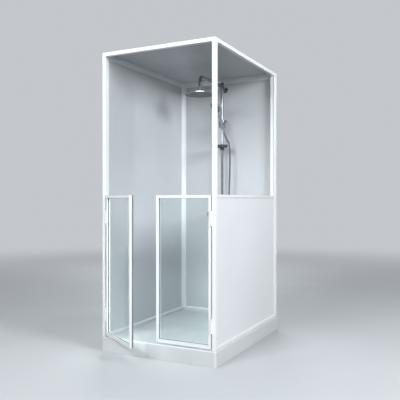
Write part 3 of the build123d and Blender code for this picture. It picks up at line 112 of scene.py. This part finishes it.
# Dots on the floor of the tray: dots a metre, their edge, height and relief, and the area that has them
DOT_DENSITY = 95.0
DOT_EDGE = (0.25, 0.38)
DOT_HEIGHT = 0.0012
DOT_RELIEF = 0.6
DOTS_BELOW = 0.0885
DOTS_WITHIN = (("X", 0.40), ("Y", 0.55))

# Glass: its body's two tones, and the tint of the light that passes it
GLASS_TONES = ((0.90, 0.965, 0.95), (0.955, 0.985, 0.98))
GLASS_SHADE = (0.93, 0.97, 0.96)
GLASS_BEND = 1.5

# Sealant along the foot of the walls: start, end, and the two directions that its corner opens in
BEAD_RADIUS = 0.004
BEAD_BITE = 0.0001
BEAD_STEPS = 6
BEADS = (
    ((-0.425, -0.5606, 0.105), (-0.425, 0.5606, 0.105), (1, 0, 0), (0, 0, 1)),
    ((-0.4186, 0.575, 0.105), (0.4186, 0.575, 0.105), (0, -1, 0), (0, 0, 1)),
    ((0.4186, -0.5606, 0.105), (0.4186, 0.541, 0.105), (-1, 0, 0), (0, 0, 1)),
)

# Screws that hold the frame's corners from the left and from behind; the head's rings go out and up in
# shares of its radius, the last ones round its socket
SCREW_RADIUS = 0.0042
SCREW_SIDES = 24
SCREW_RINGS = ((1.0, -0.05), (1.0, 0.12), (0.86, 0.36), (0.62, 0.46), (0.46, 0.46), (0.46, 0.1))
SOCKET_RING = 4
FRAME_SCREWS = (
    [((-0.4436, y, z), (-1, 0, 0)) for y in (-0.577, 0.577) for z in (0.124, 2.072)]
    + [((-0.4436, y, 2.1035), (-1, 0, 0)) for y in (-0.543, 0.543)]
    + [((x, 0.5936, z), (0, 1, 0)) for x in (-0.431, 0.431) for z in (0.124, 2.072)]
    + [((x, 0.5936, 2.1035), (0, 1, 0)) for x in (-0.401, 0.401)]
)
BRACKET_SCREW = ((-0.014, 0.492, 2.018), (0, -1, 0))

# Warm and cold marks on the mixer's round body, beside the temperature knob
MARK_X = 0.093
MARK_RADIUS = 0.0024
MARK_PROUD = 0.0002
MARK_ANGLE = 28
MIXER_AXIS = (0.508, 0.950)
MIXER_RADIUS = 0.020

# Threads on the water tails behind the rear wall
THREAD_PLACES = (-0.089, 0.061)
THREAD_SPAN = (0.6005, 0.6395)
THREAD_PITCH = 0.0018
THREAD_ROOT = 0.0075
THREAD_DEPTH = 0.0005
THREAD_SIDES = 32
THREAD_ROWS = 6


def point_camera():
    """Camera at the photograph's place and angle."""
    data = bpy.data.cameras.new("camera")
    data.lens = LENS
    data.sensor_width = SENSOR
    data.clip_end = SIGHT
    camera = bpy.data.objects.new("camera", data)
    camera.location = EYE
    camera.rotation_euler = LOOK.to_track_quat("-Z", "Y").to_euler()
    bpy.context.collection.objects.link(camera)
    bpy.context.scene.camera = camera


def link_mesh(name, mesh):
    """Put a mesh in the scene as an object of its own."""
    piece = bpy.data.objects.new(name, mesh)
    bpy.context.collection.objects.link(piece)
    return piece


def nurbs_line(points):
    """Points along the smooth curve that has the given control points."""
    curve = bpy.data.curves.new("route", "CURVE")
    curve.dimensions = "3D"
    spline = curve.splines.new("NURBS")
    spline.points.add(len(points) - 1)
    for target, point in zip(spline.points, points):
        target.co = (*point, 1)
    spline.order_u = 3
    spline.use_endpoint_u = True
    spline.resolution_u = ROUTE_FINENESS
    holder = bpy.data.objects.new("route", curve)
    mesh = bpy.data.meshes.new_from_object(holder)
    line = [vertex.co.copy() for vertex in mesh.vertices]
    bpy.data.objects.remove(holder)
    bpy.data.meshes.remove(mesh)
    return line


def evenly(line, step):
    """The same line with points at even distances."""
    total = sum((b - a).length for a, b in zip(line, line[1:]))
    count = round(total / step)
    even, walked, index = [line[0].copy()], 0.0, 0
    for number in range(1, count):
        target = total * number / count
        while walked + (line[index + 1] - line[index]).length < target:
            walked += (line[index + 1] - line[index]).length
            index += 1
        part = (target - walked) / (line[index + 1] - line[index]).length
        even.append(line[index].lerp(line[index + 1], part))
    return even + [line[-1].copy()]


def ribbed_tube(name, line, frames, radius, first_ring):
    """Mesh tube along a line, with wound ribs that carry on from the ring before it."""
    mesh = bpy.data.meshes.new(name)
    work = bmesh.new()
    rings = []
    for number, (centre, (side, up)) in enumerate(zip(line, frames)):
        phase = (first_ring + number) % RIB_STEPS
        ring_radius = radius - (HOSE_RIB_DEPTH if phase in (0, RIB_STEPS - 1) else 0)
        ring = []
        for turn in range(HOSE_SIDES):
            angle = 2 * pi * turn / HOSE_SIDES
            ring.append(work.verts.new(centre + ring_radius * (cos(angle) * side + sin(angle) * up)))
        rings.append(ring)
    for ring, after in zip(rings, rings[1:]):
        for turn in range(HOSE_SIDES):
            beside = (turn + 1) % HOSE_SIDES
            work.faces.new((ring[turn], ring[beside], after[beside], after[turn]))
    work.faces.new(rings[0][::-1])
    work.faces.new(rings[-1])
    bmesh.ops.recalc_face_normals(work, faces=work.faces)
    for face in work.faces:
        face.smooth = True
    work.to_mesh(mesh)
    work.free()
    return link_mesh(name, mesh)


def carried_frames(line):
    """Side and up directions along a line that don't twist about it."""
    frames = []
    side = Vector((1, 0, 0))
    for number, point in enumerate(line):
        before = line[max(number - 1, 0)]
        after = line[min(number + 1, len(line) - 1)]
        along = (after - before).normalized()
        side = (side - along * side.dot(along)).normalized()
        frames.append((side.copy(), along.cross(side)))
    return frames


def length_of(line):
    """Length of a line of points."""
    return sum((b - a).length for a, b in zip(line, line[1:]))


def hose():
    """Hose in three stretches: the lowest hangs from the cabin, the upper two keep no parent, and a
    straight end sits in the handle.
    """
    line = evenly(nurbs_line(HOSE_ROUTE), HOSE_RIB_PITCH / RIB_STEPS)
    frames = carried_frames(line)
    step = length_of(line) / (len(line) - 1)
    top_end = round(TOP_STRETCH / step)
    leg_end = next(n for n, point in enumerate(line) if n > top_end and point.z < LEG_FOOT)
    stretches = [
        ("hose_at_holder", 0, top_end, ("slider", "handset_holder"), ["hose_nut_upper"]),
        ("hose_leg", top_end, leg_end, ("cabin", "slider"), []),
        ("hose_loop", leg_end, len(line) - 1, None, ["hose_nut_lower"]),
    ]
    made = []
    for name, first, last, bodies, nuts in stretches:
        part = line[first:last + 1]
        piece = ribbed_tube(name, part, frames[first:last + 1], HOSE_DIAMETER / 2, first)
        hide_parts("hose")
        if bodies:
            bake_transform(piece)
        else:
            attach(piece, "cabin")
        made.append(piece)
    return made + [spare_hose(line[0], line[0] - line[1])]


def spare_hose(start, up):
    """Straight end of the hose inside the handle, which shows when the handset lifts off its holder."""
    step = HOSE_RIB_PITCH / RIB_STEPS
    line = [start + up.normalized() * step * n for n in range(round(SPARE_LENGTH / step) + 1)]
    piece = ribbed_tube("hose_end_in_handle", line, carried_frames(line), HOSE_DIAMETER / 2, 0)
    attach(piece, "handset_holder")
    return piece


def wall(rings, sides):
    """Faces that join rings of corners, each ring listed in order with the same number of corners."""
    faces = []
    for low in range(0, (rings - 1) * sides, sides):
        for k in range(sides):
            after = (k + 1) % sides
            faces.append((low + k, low + after, low + sides + after, low + sides + k))
    return faces


def bead(start, end, across, up):
    """Corners and faces of a hollow-faced bead that fills the corner between two surfaces."""
    across, up = Vector(across), Vector(up)
    profile = [-BEAD_BITE * (across + up)]
    for step in range(BEAD_STEPS + 1):
        angle = pi / 2 * step / BEAD_STEPS
        profile.append((across * (1 - cos(angle)) + up * (1 - sin(angle))) * BEAD_RADIUS)
    corners = [Vector(place) + point for place in (start, end) for point in profile]
    count = len(profile)
    return corners, wall(2, count) + [tuple(range(count)), tuple(range(count, 2 * count))]


def joined(name, shapes):
    """One piece from several lists of corners and faces."""
    corners, faces = [], []
    for points, rings in shapes:
        faces += [tuple(len(corners) + k for k in ring) for ring in rings]
        corners += points
    mesh = bpy.data.meshes.new(name)
    mesh.from_pydata(corners, [], faces)
    build = bmesh.new()
    build.from_mesh(mesh)
    bmesh.ops.recalc_face_normals(build, faces=build.faces)
    build.to_mesh(mesh)
    build.free()
    return link_mesh(name, mesh)


def screw_head(place, normal, radius=SCREW_RADIUS):
    """Corners and faces of a low domed head with a six-sided socket."""
    normal = Vector(normal)
    side = normal.orthogonal().normalized()
    other = normal.cross(side)
    corners = []
    for row, (reach, height) in enumerate(SCREW_RINGS):
        for k in range(SCREW_SIDES):
            angle = 2 * pi * k / SCREW_SIDES
            flat = cos(pi / 6) / cos(angle % (pi / 3) - pi / 6) if row >= SOCKET_RING else 1.0
            spoke = side * cos(angle) + other * sin(angle)
            corners.append(Vector(place) + (spoke * reach * flat + normal * height) * radius)
    last = (len(SCREW_RINGS) - 1) * SCREW_SIDES
    return corners, wall(len(SCREW_RINGS), SCREW_SIDES) + [tuple(range(last, last + SCREW_SIDES))]


def mark(angle):
    """Corners and faces of a thin round mark on the front of the mixer's body."""
    turn = radians(angle)
    out = Vector((0, -cos(turn), sin(turn)))
    along = Vector((0, sin(turn), cos(turn)))
    centre = Vector((MARK_X, *MIXER_AXIS)) + out * MIXER_RADIUS
    rim = [centre + (Vector((1, 0, 0)) * cos(a) + along * sin(a)) * MARK_RADIUS
           for a in [2 * pi * k / SCREW_SIDES for k in range(SCREW_SIDES)]]
    corners = [point - out * MARK_RADIUS / 4 for point in rim] + [point + out * MARK_PROUD for point in rim]
    return corners, wall(2, SCREW_SIDES) + [tuple(range(SCREW_SIDES, 2 * SCREW_SIDES))]


def thread(x):
    """Corners and faces of a helical thread round a water tail."""
    start, end = THREAD_SPAN
    rows = round((end - start) / THREAD_PITCH * THREAD_ROWS)
    corners = []
    for row in range(rows + 1):
        y = start + (end - start) * row / rows
        for k in range(THREAD_SIDES):
            phase = (y / THREAD_PITCH - k / THREAD_SIDES) % 1
            radius = THREAD_ROOT + THREAD_DEPTH * (1 - abs(2 * phase - 1))
            angle = 2 * pi * k / THREAD_SIDES
            corners.append(Vector((x + radius * cos(angle), y, MIXER_AXIS[1] + radius * sin(angle))))
    return corners, wall(rows + 1, THREAD_SIDES)


def add_details(materials):
    """Sealant, screws, marks and threads on the cabin."""
    pieces = (
        ("wall_sealant", "silicone", [bead(*run) for run in BEADS]),
        ("frame_screws", "steel", [screw_head(*spot) for spot in FRAME_SCREWS]),
        ("bracket_screw", "steel", [screw_head(*BRACKET_SCREW, SCREW_RADIUS / 2)]),
        ("warm_mark", "hot_mark", [mark(MARK_ANGLE)]),
        ("cold_mark", "cold_mark", [mark(-MARK_ANGLE)]),
        ("tail_threads", "steel", [thread(x) for x in THREAD_PLACES]),
    )
    for name, material, shapes in pieces:
        piece = joined(name, shapes)
        paint(piece, materials[material])
        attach(piece, "cabin")


def nodes_of(name):
    """A new material, its node tree and its shader."""
    material = bpy.data.materials.new(name)
    material.use_nodes = True
    tree = material.node_tree
    shader = tree.nodes["Principled BSDF"]
    return material, tree, shader


def place_of(tree, scale):
    """Texture place in the part's own metres, stretched by a scale."""
    place = tree.nodes.new("ShaderNodeTexCoord")
    mapping = tree.nodes.new("ShaderNodeMapping")
    mapping.inputs["Scale"].default_value = scale
    tree.links.new(place.outputs["Object"], mapping.inputs["Vector"])
    return mapping.outputs["Vector"]


def noise(tree, scale, detail=3.0, stretch=(1, 1, 1)):
    """Noise of a given scale in cycles a metre."""
    texture = tree.nodes.new("ShaderNodeTexNoise")
    texture.inputs["Scale"].default_value = scale
    texture.inputs["Detail"].default_value = detail
    tree.links.new(place_of(tree, stretch), texture.inputs["Vector"])
    return texture.outputs["Fac"]


def ramp(tree, value, low, high, start=0.35, end=0.65):
    """Colours between two ends of a value."""
    colours = tree.nodes.new("ShaderNodeValToRGB")
    colours.color_ramp.elements[0].position = start
    colours.color_ramp.elements[1].position = end
    colours.color_ramp.elements[0].color = (*low, 1)
    colours.color_ramp.elements[1].color = (*high, 1)
    tree.links.new(value, colours.inputs["Fac"])
    return colours.outputs["Color"]


def spread(tree, value, source, target):
    """A number that goes over the target range as a value goes over the source range."""
    change = tree.nodes.new("ShaderNodeMapRange")
    change.inputs["From Min"].default_value, change.inputs["From Max"].default_value = source
    change.inputs["To Min"].default_value, change.inputs["To Max"].default_value = target
    tree.links.new(value, change.inputs["Value"])
    return change.outputs["Result"]


def computed(tree, operation, first, second=None):
    """The result of an operation on a value and, where it takes one, another value or a number."""
    step = tree.nodes.new("ShaderNodeMath")
    step.operation = operation
    tree.links.new(first, step.inputs[0])
    if isinstance(second, float):
        step.inputs[1].default_value = second
    elif second:
        tree.links.new(second, step.inputs[1])
    return step.outputs["Value"]


def between(tree, value, low, high):
    """A number that goes from low to high over the middle of a value's range."""
    return spread(tree, value, MIDDLE, (low, high))


def bump(tree, shader, height, strength, distance):
    """Small relief from a height value."""
    relief = tree.nodes.new("ShaderNodeBump")
    relief.inputs["Strength"].default_value = strength
    relief.inputs["Distance"].default_value = distance
    tree.links.new(height, relief.inputs["Height"])
    tree.links.new(relief.outputs["Normal"], shader.inputs["Normal"])
    return relief


def surface(name, low, high, rough, patch=6.0, grain=700.0, relief=0.15, depth=0.0004, **fixed):
    """Material with a slow colour change, a varying roughness if one is given, and a fine grain."""
    material, tree, shader = nodes_of(name)
    slow = noise(tree, patch)
    tree.links.new(ramp(tree, slow, low, high), shader.inputs["Base Color"])
    if rough:
        tree.links.new(between(tree, noise(tree, patch * 3), *rough), shader.inputs["Roughness"])
    bump(tree, shader, noise(tree, grain, 2.0), relief, depth)
    for socket, value in fixed.items():
        shader.inputs[socket.replace("_", " ")].default_value = value
    return material


def tray_material():
    """Glossy moulded acrylic with raised anti-slip dots on the floor of the tray."""
    material = surface("tray", (0.65, 0.665, 0.68), (0.70, 0.715, 0.73), (0.16, 0.26), patch=3.0,
                       grain=260.0, relief=0.05, Coat_Weight=0.3, Coat_Roughness=0.08)
    tree = material.node_tree
    shader = tree.nodes["Principled BSDF"]
    dots = tree.nodes.new("ShaderNodeTexVoronoi")
    dots.inputs["Scale"].default_value = DOT_DENSITY
    dots.inputs["Randomness"].default_value = 0.0
    tree.links.new(place_of(tree, (1, 1, 0)), dots.inputs["Vector"])
    height = spread(tree, dots.outputs["Distance"], DOT_EDGE, (1.0, 0.0))
    place = tree.nodes.new("ShaderNodeSeparateXYZ")
    coordinate = tree.nodes.new("ShaderNodeTexCoord")
    tree.links.new(coordinate.outputs["Object"], place.inputs["Vector"])
    inside = computed(tree, "LESS_THAN", place.outputs["Z"], DOTS_BELOW)
    for axis, limit in DOTS_WITHIN:
        distance = computed(tree, "ABSOLUTE", place.outputs[axis])
        inside = computed(tree, "MULTIPLY", inside, computed(tree, "LESS_THAN", distance, limit))
    pattern = computed(tree, "MULTIPLY", inside, height)
    dimple = tree.nodes.new("ShaderNodeBump")
    dimple.inputs["Strength"].default_value = DOT_RELIEF
    dimple.inputs["Distance"].default_value = DOT_HEIGHT
    tree.links.new(pattern, dimple.inputs["Height"])
    fine = next(node for node in tree.nodes if node.type == "BUMP" and node != dimple)
    tree.links.new(fine.outputs["Normal"], dimple.inputs["Normal"])
    tree.links.new(dimple.outputs["Normal"], shader.inputs["Normal"])
    return material


def glass_material():
    """Clear pane with a faint green body; light passes it without a hard shadow."""
    material, tree, shader = nodes_of("glass")
    shader.inputs["Transmission Weight"].default_value = 1.0
    shader.inputs["IOR"].default_value = GLASS_BEND
    smear = noise(tree, 5.0, 4.0)
    tree.links.new(ramp(tree, smear, *GLASS_TONES), shader.inputs["Base Color"])
    tree.links.new(between(tree, noise(tree, 14.0, 4.0), 0.0, 0.035), shader.inputs["Roughness"])
    clear = tree.nodes.new("ShaderNodeBsdfTransparent")
    clear.inputs["Color"].default_value = (*GLASS_SHADE, 1)
    light = tree.nodes.new("ShaderNodeLightPath")
    mix = tree.nodes.new("ShaderNodeMixShader")
    tree.links.new(light.outputs["Is Shadow Ray"], mix.inputs[0])
    tree.links.new(shader.outputs[0], mix.inputs[1])
    tree.links.new(clear.outputs[0], mix.inputs[2])
    tree.links.new(mix.outputs[0], tree.nodes["Material Output"].inputs["Surface"])
    return material


def head_material():
    """Bright plated rim of the rain head; its top and neck are satin."""
    material = surface("head_chrome", (0.36, 0.37, 0.39), (0.42, 0.43, 0.45), None, patch=30.0,
                       grain=300.0, relief=0.02, depth=0.0002, Metallic=1.0)
    tree = material.node_tree
    middle = tree.nodes.new("ShaderNodeMapping")
    middle.inputs["Location"].default_value = (-HEAD_AXIS[0], -HEAD_AXIS[1], 0)
    middle.inputs["Scale"].default_value = (1, 1, 0)
    place = tree.nodes.new("ShaderNodeTexCoord")
    tree.links.new(place.outputs["Object"], middle.inputs["Vector"])
    reach = tree.nodes.new("ShaderNodeVectorMath")
    reach.operation = "LENGTH"
    tree.links.new(middle.outputs["Vector"], reach.inputs[0])
    satin = spread(tree, reach.outputs["Value"], HEAD_SATIN, HEAD_ROUGH)
    tree.links.new(satin, tree.nodes["Principled BSDF"].inputs["Roughness"])
    return material


def make_materials():
    """Every material, by the record's slot name."""
    return {
        "frame": surface("frame", (0.83, 0.84, 0.86), (0.88, 0.89, 0.90), (0.30, 0.42), patch=2.0,
                         grain=900.0, relief=0.10, depth=0.0003),
        # Walls: the panels' white darkened, painted shade for the shade inside the cabin
        "wall": surface("wall", (0.525, 0.54, 0.56), (0.565, 0.58, 0.60), (0.28, 0.40), patch=1.6,
                        grain=420.0, relief=0.05, depth=0.0003),
        "panel": surface("panel", (0.79, 0.80, 0.82), (0.83, 0.84, 0.86), (0.28, 0.40), patch=1.6,
                         grain=420.0, relief=0.05, depth=0.0003),
        # Roof panel: the panels' white darkened, painted shade for the shade under the roof
        "roof_painted_shade": surface("roof_painted_shade", (0.45, 0.46, 0.48), (0.49, 0.50, 0.52), (0.28, 0.40), patch=1.6,
                        grain=420.0, relief=0.05, depth=0.0003),
        "tray": tray_material(),
        "glass": glass_material(),
        "chrome": surface("chrome", (0.40, 0.41, 0.43), (0.46, 0.47, 0.49), (0.05, 0.12), patch=30.0,
                          grain=300.0, relief=0.02, depth=0.0002, Metallic=1.0),
        # Shower arm, its nut, ball joint and riser bracket: the chrome darkened, painted shade for the dark
        # ceiling that they mirror
        "arm_chrome_painted_shade": surface("arm_chrome_painted_shade", (0.25, 0.255, 0.27), (0.31, 0.315, 0.33), (0.05, 0.12),
                              patch=30.0, grain=300.0, relief=0.02, depth=0.0002, Metallic=1.0),
        "head_chrome": head_material(),
        "hose": surface("hose", (0.24, 0.245, 0.26), (0.31, 0.32, 0.33), (0.16, 0.26), patch=60.0,
                        grain=900.0, relief=0.05, depth=0.0002, Metallic=1.0),
        "steel": surface("steel", (0.48, 0.49, 0.50), (0.58, 0.59, 0.60), (0.25, 0.38), patch=80.0,
                         grain=1500.0, relief=0.10, depth=0.0002, Metallic=1.0),
        "rubber": surface("rubber", (0.018, 0.018, 0.020), (0.032, 0.032, 0.034), (0.60, 0.78), patch=40.0,
                          grain=1400.0, relief=0.25, depth=0.0003),
        "grey_rubber": surface("grey_rubber", (0.16, 0.165, 0.17), (0.20, 0.205, 0.21), (0.60, 0.75),
                               patch=40.0, grain=1400.0, relief=0.2, depth=0.0003),
        "black_plastic": surface("black_plastic", (0.02, 0.02, 0.022), (0.035, 0.035, 0.037), (0.40, 0.55),
                                 patch=25.0, grain=1200.0, relief=0.3, depth=0.0003),
        "waste_plastic": surface("waste_plastic", (0.62, 0.63, 0.63), (0.68, 0.69, 0.69), (0.38, 0.5),
                                 patch=20.0, grain=900.0, relief=0.15, depth=0.0003),
        "inner_plastic": surface("inner_plastic", (0.50, 0.50, 0.51), (0.56, 0.56, 0.57), (0.40, 0.52),
                                 patch=20.0, grain=900.0, relief=0.2, depth=0.0003),
        "nozzles": surface("nozzles", (0.12, 0.125, 0.135), (0.16, 0.165, 0.175), (0.38, 0.52), patch=50.0,
                           grain=1300.0, relief=0.15, depth=0.0002),
        # Soap dish: its silver grey darkened, painted shade for the dark reflection along its rim
        "dish": surface("dish", (0.09, 0.093, 0.10), (0.125, 0.129, 0.137), (0.16, 0.26), patch=20.0,
                        grain=500.0, relief=0.06, depth=0.0002, Metallic=0.6),
        "silicone": surface("silicone", (0.70, 0.71, 0.72), (0.78, 0.79, 0.80), (0.32, 0.5), patch=18.0,
                            grain=500.0, relief=0.3, depth=0.0004),
        "hot_mark": surface("hot_mark", (0.50, 0.03, 0.03), (0.58, 0.04, 0.04), (0.25, 0.35), patch=80.0),
        "cold_mark": surface("cold_mark", (0.03, 0.08, 0.42), (0.04, 0.10, 0.50), (0.25, 0.35), patch=80.0),
    }


def paint(piece, material):
    """Give a piece one material all over."""
    piece.data.materials.clear()
    piece.data.materials.append(material)


def dress_nodes(materials):
    """Materials and softened edges for the pieces that come from the model."""
    for entry in frame["record"]["subparts"]:
        node = frame["nodes"][entry["node"]]
        paint(node, materials[OWN_MATERIAL.get(entry["node"], entry["material_slot"])])
        soften(node)


def soften(piece):
    """Round the sharp edges so that they catch light."""
    edge = piece.modifiers.new("soft_edges", "BEVEL")
    edge.width = EDGE_WIDTH
    edge.segments = 2
    edge.limit_method = "ANGLE"
    edge.angle_limit = radians(EDGE_ANGLE)
    edge.harden_normals = False


def seen_directly(tree):
    """1 where the camera sees a surface itself, in a mirror or through glass, and 0 for its light."""
    light = tree.nodes.new("ShaderNodeLightPath")
    total = light.outputs["Is Camera Ray"]
    for kind in ("Is Glossy Ray", "Is Transmission Ray"):
        join = tree.nodes.new("ShaderNodeMath")
        join.operation = "ADD"
        join.use_clamp = True
        tree.links.new(total, join.inputs[0])
        tree.links.new(light.outputs[kind], join.inputs[1])
        total = join.outputs["Value"]
    return total


def lay_floor():
    """Plain pale floor that gives the object little light and runs into the backdrop far away."""
    mesh = bpy.data.meshes.new("floor")
    corners = [(x * FLOOR_HALF, y * FLOOR_HALF, 0) for x, y in ((-1, -1), (1, -1), (1, 1), (-1, 1))]
    mesh.from_pydata(corners, [], [(0, 1, 2, 3)])
    floor = link_mesh("floor", mesh)
    floor.location.z = -FLOOR_DROP
    material = surface("floor", FLOOR_TONE, [tone * FLOOR_SPREAD for tone in FLOOR_TONE], (0.55, 0.7),
                       patch=0.6, grain=60.0, relief=0.02)
    tree = material.node_tree
    shader = tree.nodes["Principled BSDF"]
    pale = shader.inputs["Base Color"].links[0].from_socket
    choice = tree.nodes.new("ShaderNodeMix")
    choice.data_type = "RGBA"
    choice.inputs["A"].default_value = (*FLOOR_BOUNCE, 1)
    tree.links.new(seen_directly(tree), choice.inputs["Factor"])
    tree.links.new(pale, choice.inputs["B"])
    tree.links.new(choice.outputs["Result"], shader.inputs["Base Color"])
    place = tree.nodes.new("ShaderNodeTexCoord")
    distance = tree.nodes.new("ShaderNodeVectorMath")
    distance.operation = "LENGTH"
    tree.links.new(place.outputs["Object"], distance.inputs[0])
    far = tree.nodes.new("ShaderNodeMapRange")
    far.interpolation_type = "SMOOTHSTEP"
    far.inputs["From Min"].default_value, far.inputs["From Max"].default_value = FLOOR_FADE
    tree.links.new(distance.outputs["Value"], far.inputs["Value"])
    share = computed(tree, "MULTIPLY", far.outputs["Result"], seen_directly(tree))
    glow = tree.nodes.new("ShaderNodeEmission")
    glow.inputs["Color"].default_value = (*BACKDROP, 1)
    blend = tree.nodes.new("ShaderNodeMixShader")
    tree.links.new(share, blend.inputs[0])
    tree.links.new(shader.outputs[0], blend.inputs[1])
    tree.links.new(glow.outputs[0], blend.inputs[2])
    tree.links.new(blend.outputs[0], tree.nodes["Material Output"].inputs["Surface"])
    paint(floor, material)


def surround():
    """Dim even light from all round, and the pale backdrop that the camera, metal and glass show."""
    world = bpy.data.worlds.new("studio")
    bpy.context.scene.world = world
    world.use_nodes = True
    tree = world.node_tree
    ground = tree.nodes["Background"]
    ground.inputs["Color"].default_value = (*AMBIENT_TINT, 1)
    ground.inputs["Strength"].default_value = AMBIENT
    seen = tree.nodes.new("ShaderNodeBackground")
    seen.inputs["Color"].default_value = (*BACKDROP, 1)
    mix = tree.nodes.new("ShaderNodeMixShader")
    tree.links.new(seen_directly(tree), mix.inputs[0])
    tree.links.new(ground.outputs[0], mix.inputs[1])
    tree.links.new(seen.outputs[0], mix.inputs[2])
    tree.links.new(mix.outputs[0], tree.nodes["World Output"].inputs["Surface"])


def hang_lamps():
    """Soft lamps: a key in front, a wide strip that metal mirrors, and light from side, top and back."""
    for name, place, target, size, power in LAMPS:
        lamp = bpy.data.lights.new(name, "AREA")
        lamp.shape = "RECTANGLE"
        lamp.size, lamp.size_y = size
        lamp.energy = power
        lamp.color = LAMP_TINT
        holder = bpy.data.objects.new(name, lamp)
        holder.location = place
        holder.visible_glossy = name in MIRRORED_LAMPS
        holder.rotation_euler = (Vector(target) - Vector(place)).to_track_quat("-Z", "Y").to_euler()
        bpy.context.collection.objects.link(holder)


point_camera()
hoses = hose()
materials = make_materials()
dress_nodes(materials)
for piece in hoses:
    paint(piece, materials["hose"])
add_details(materials)
lay_floor()
surround()
hang_lamps()
bpy.context.scene.view_settings.view_transform = "Standard"
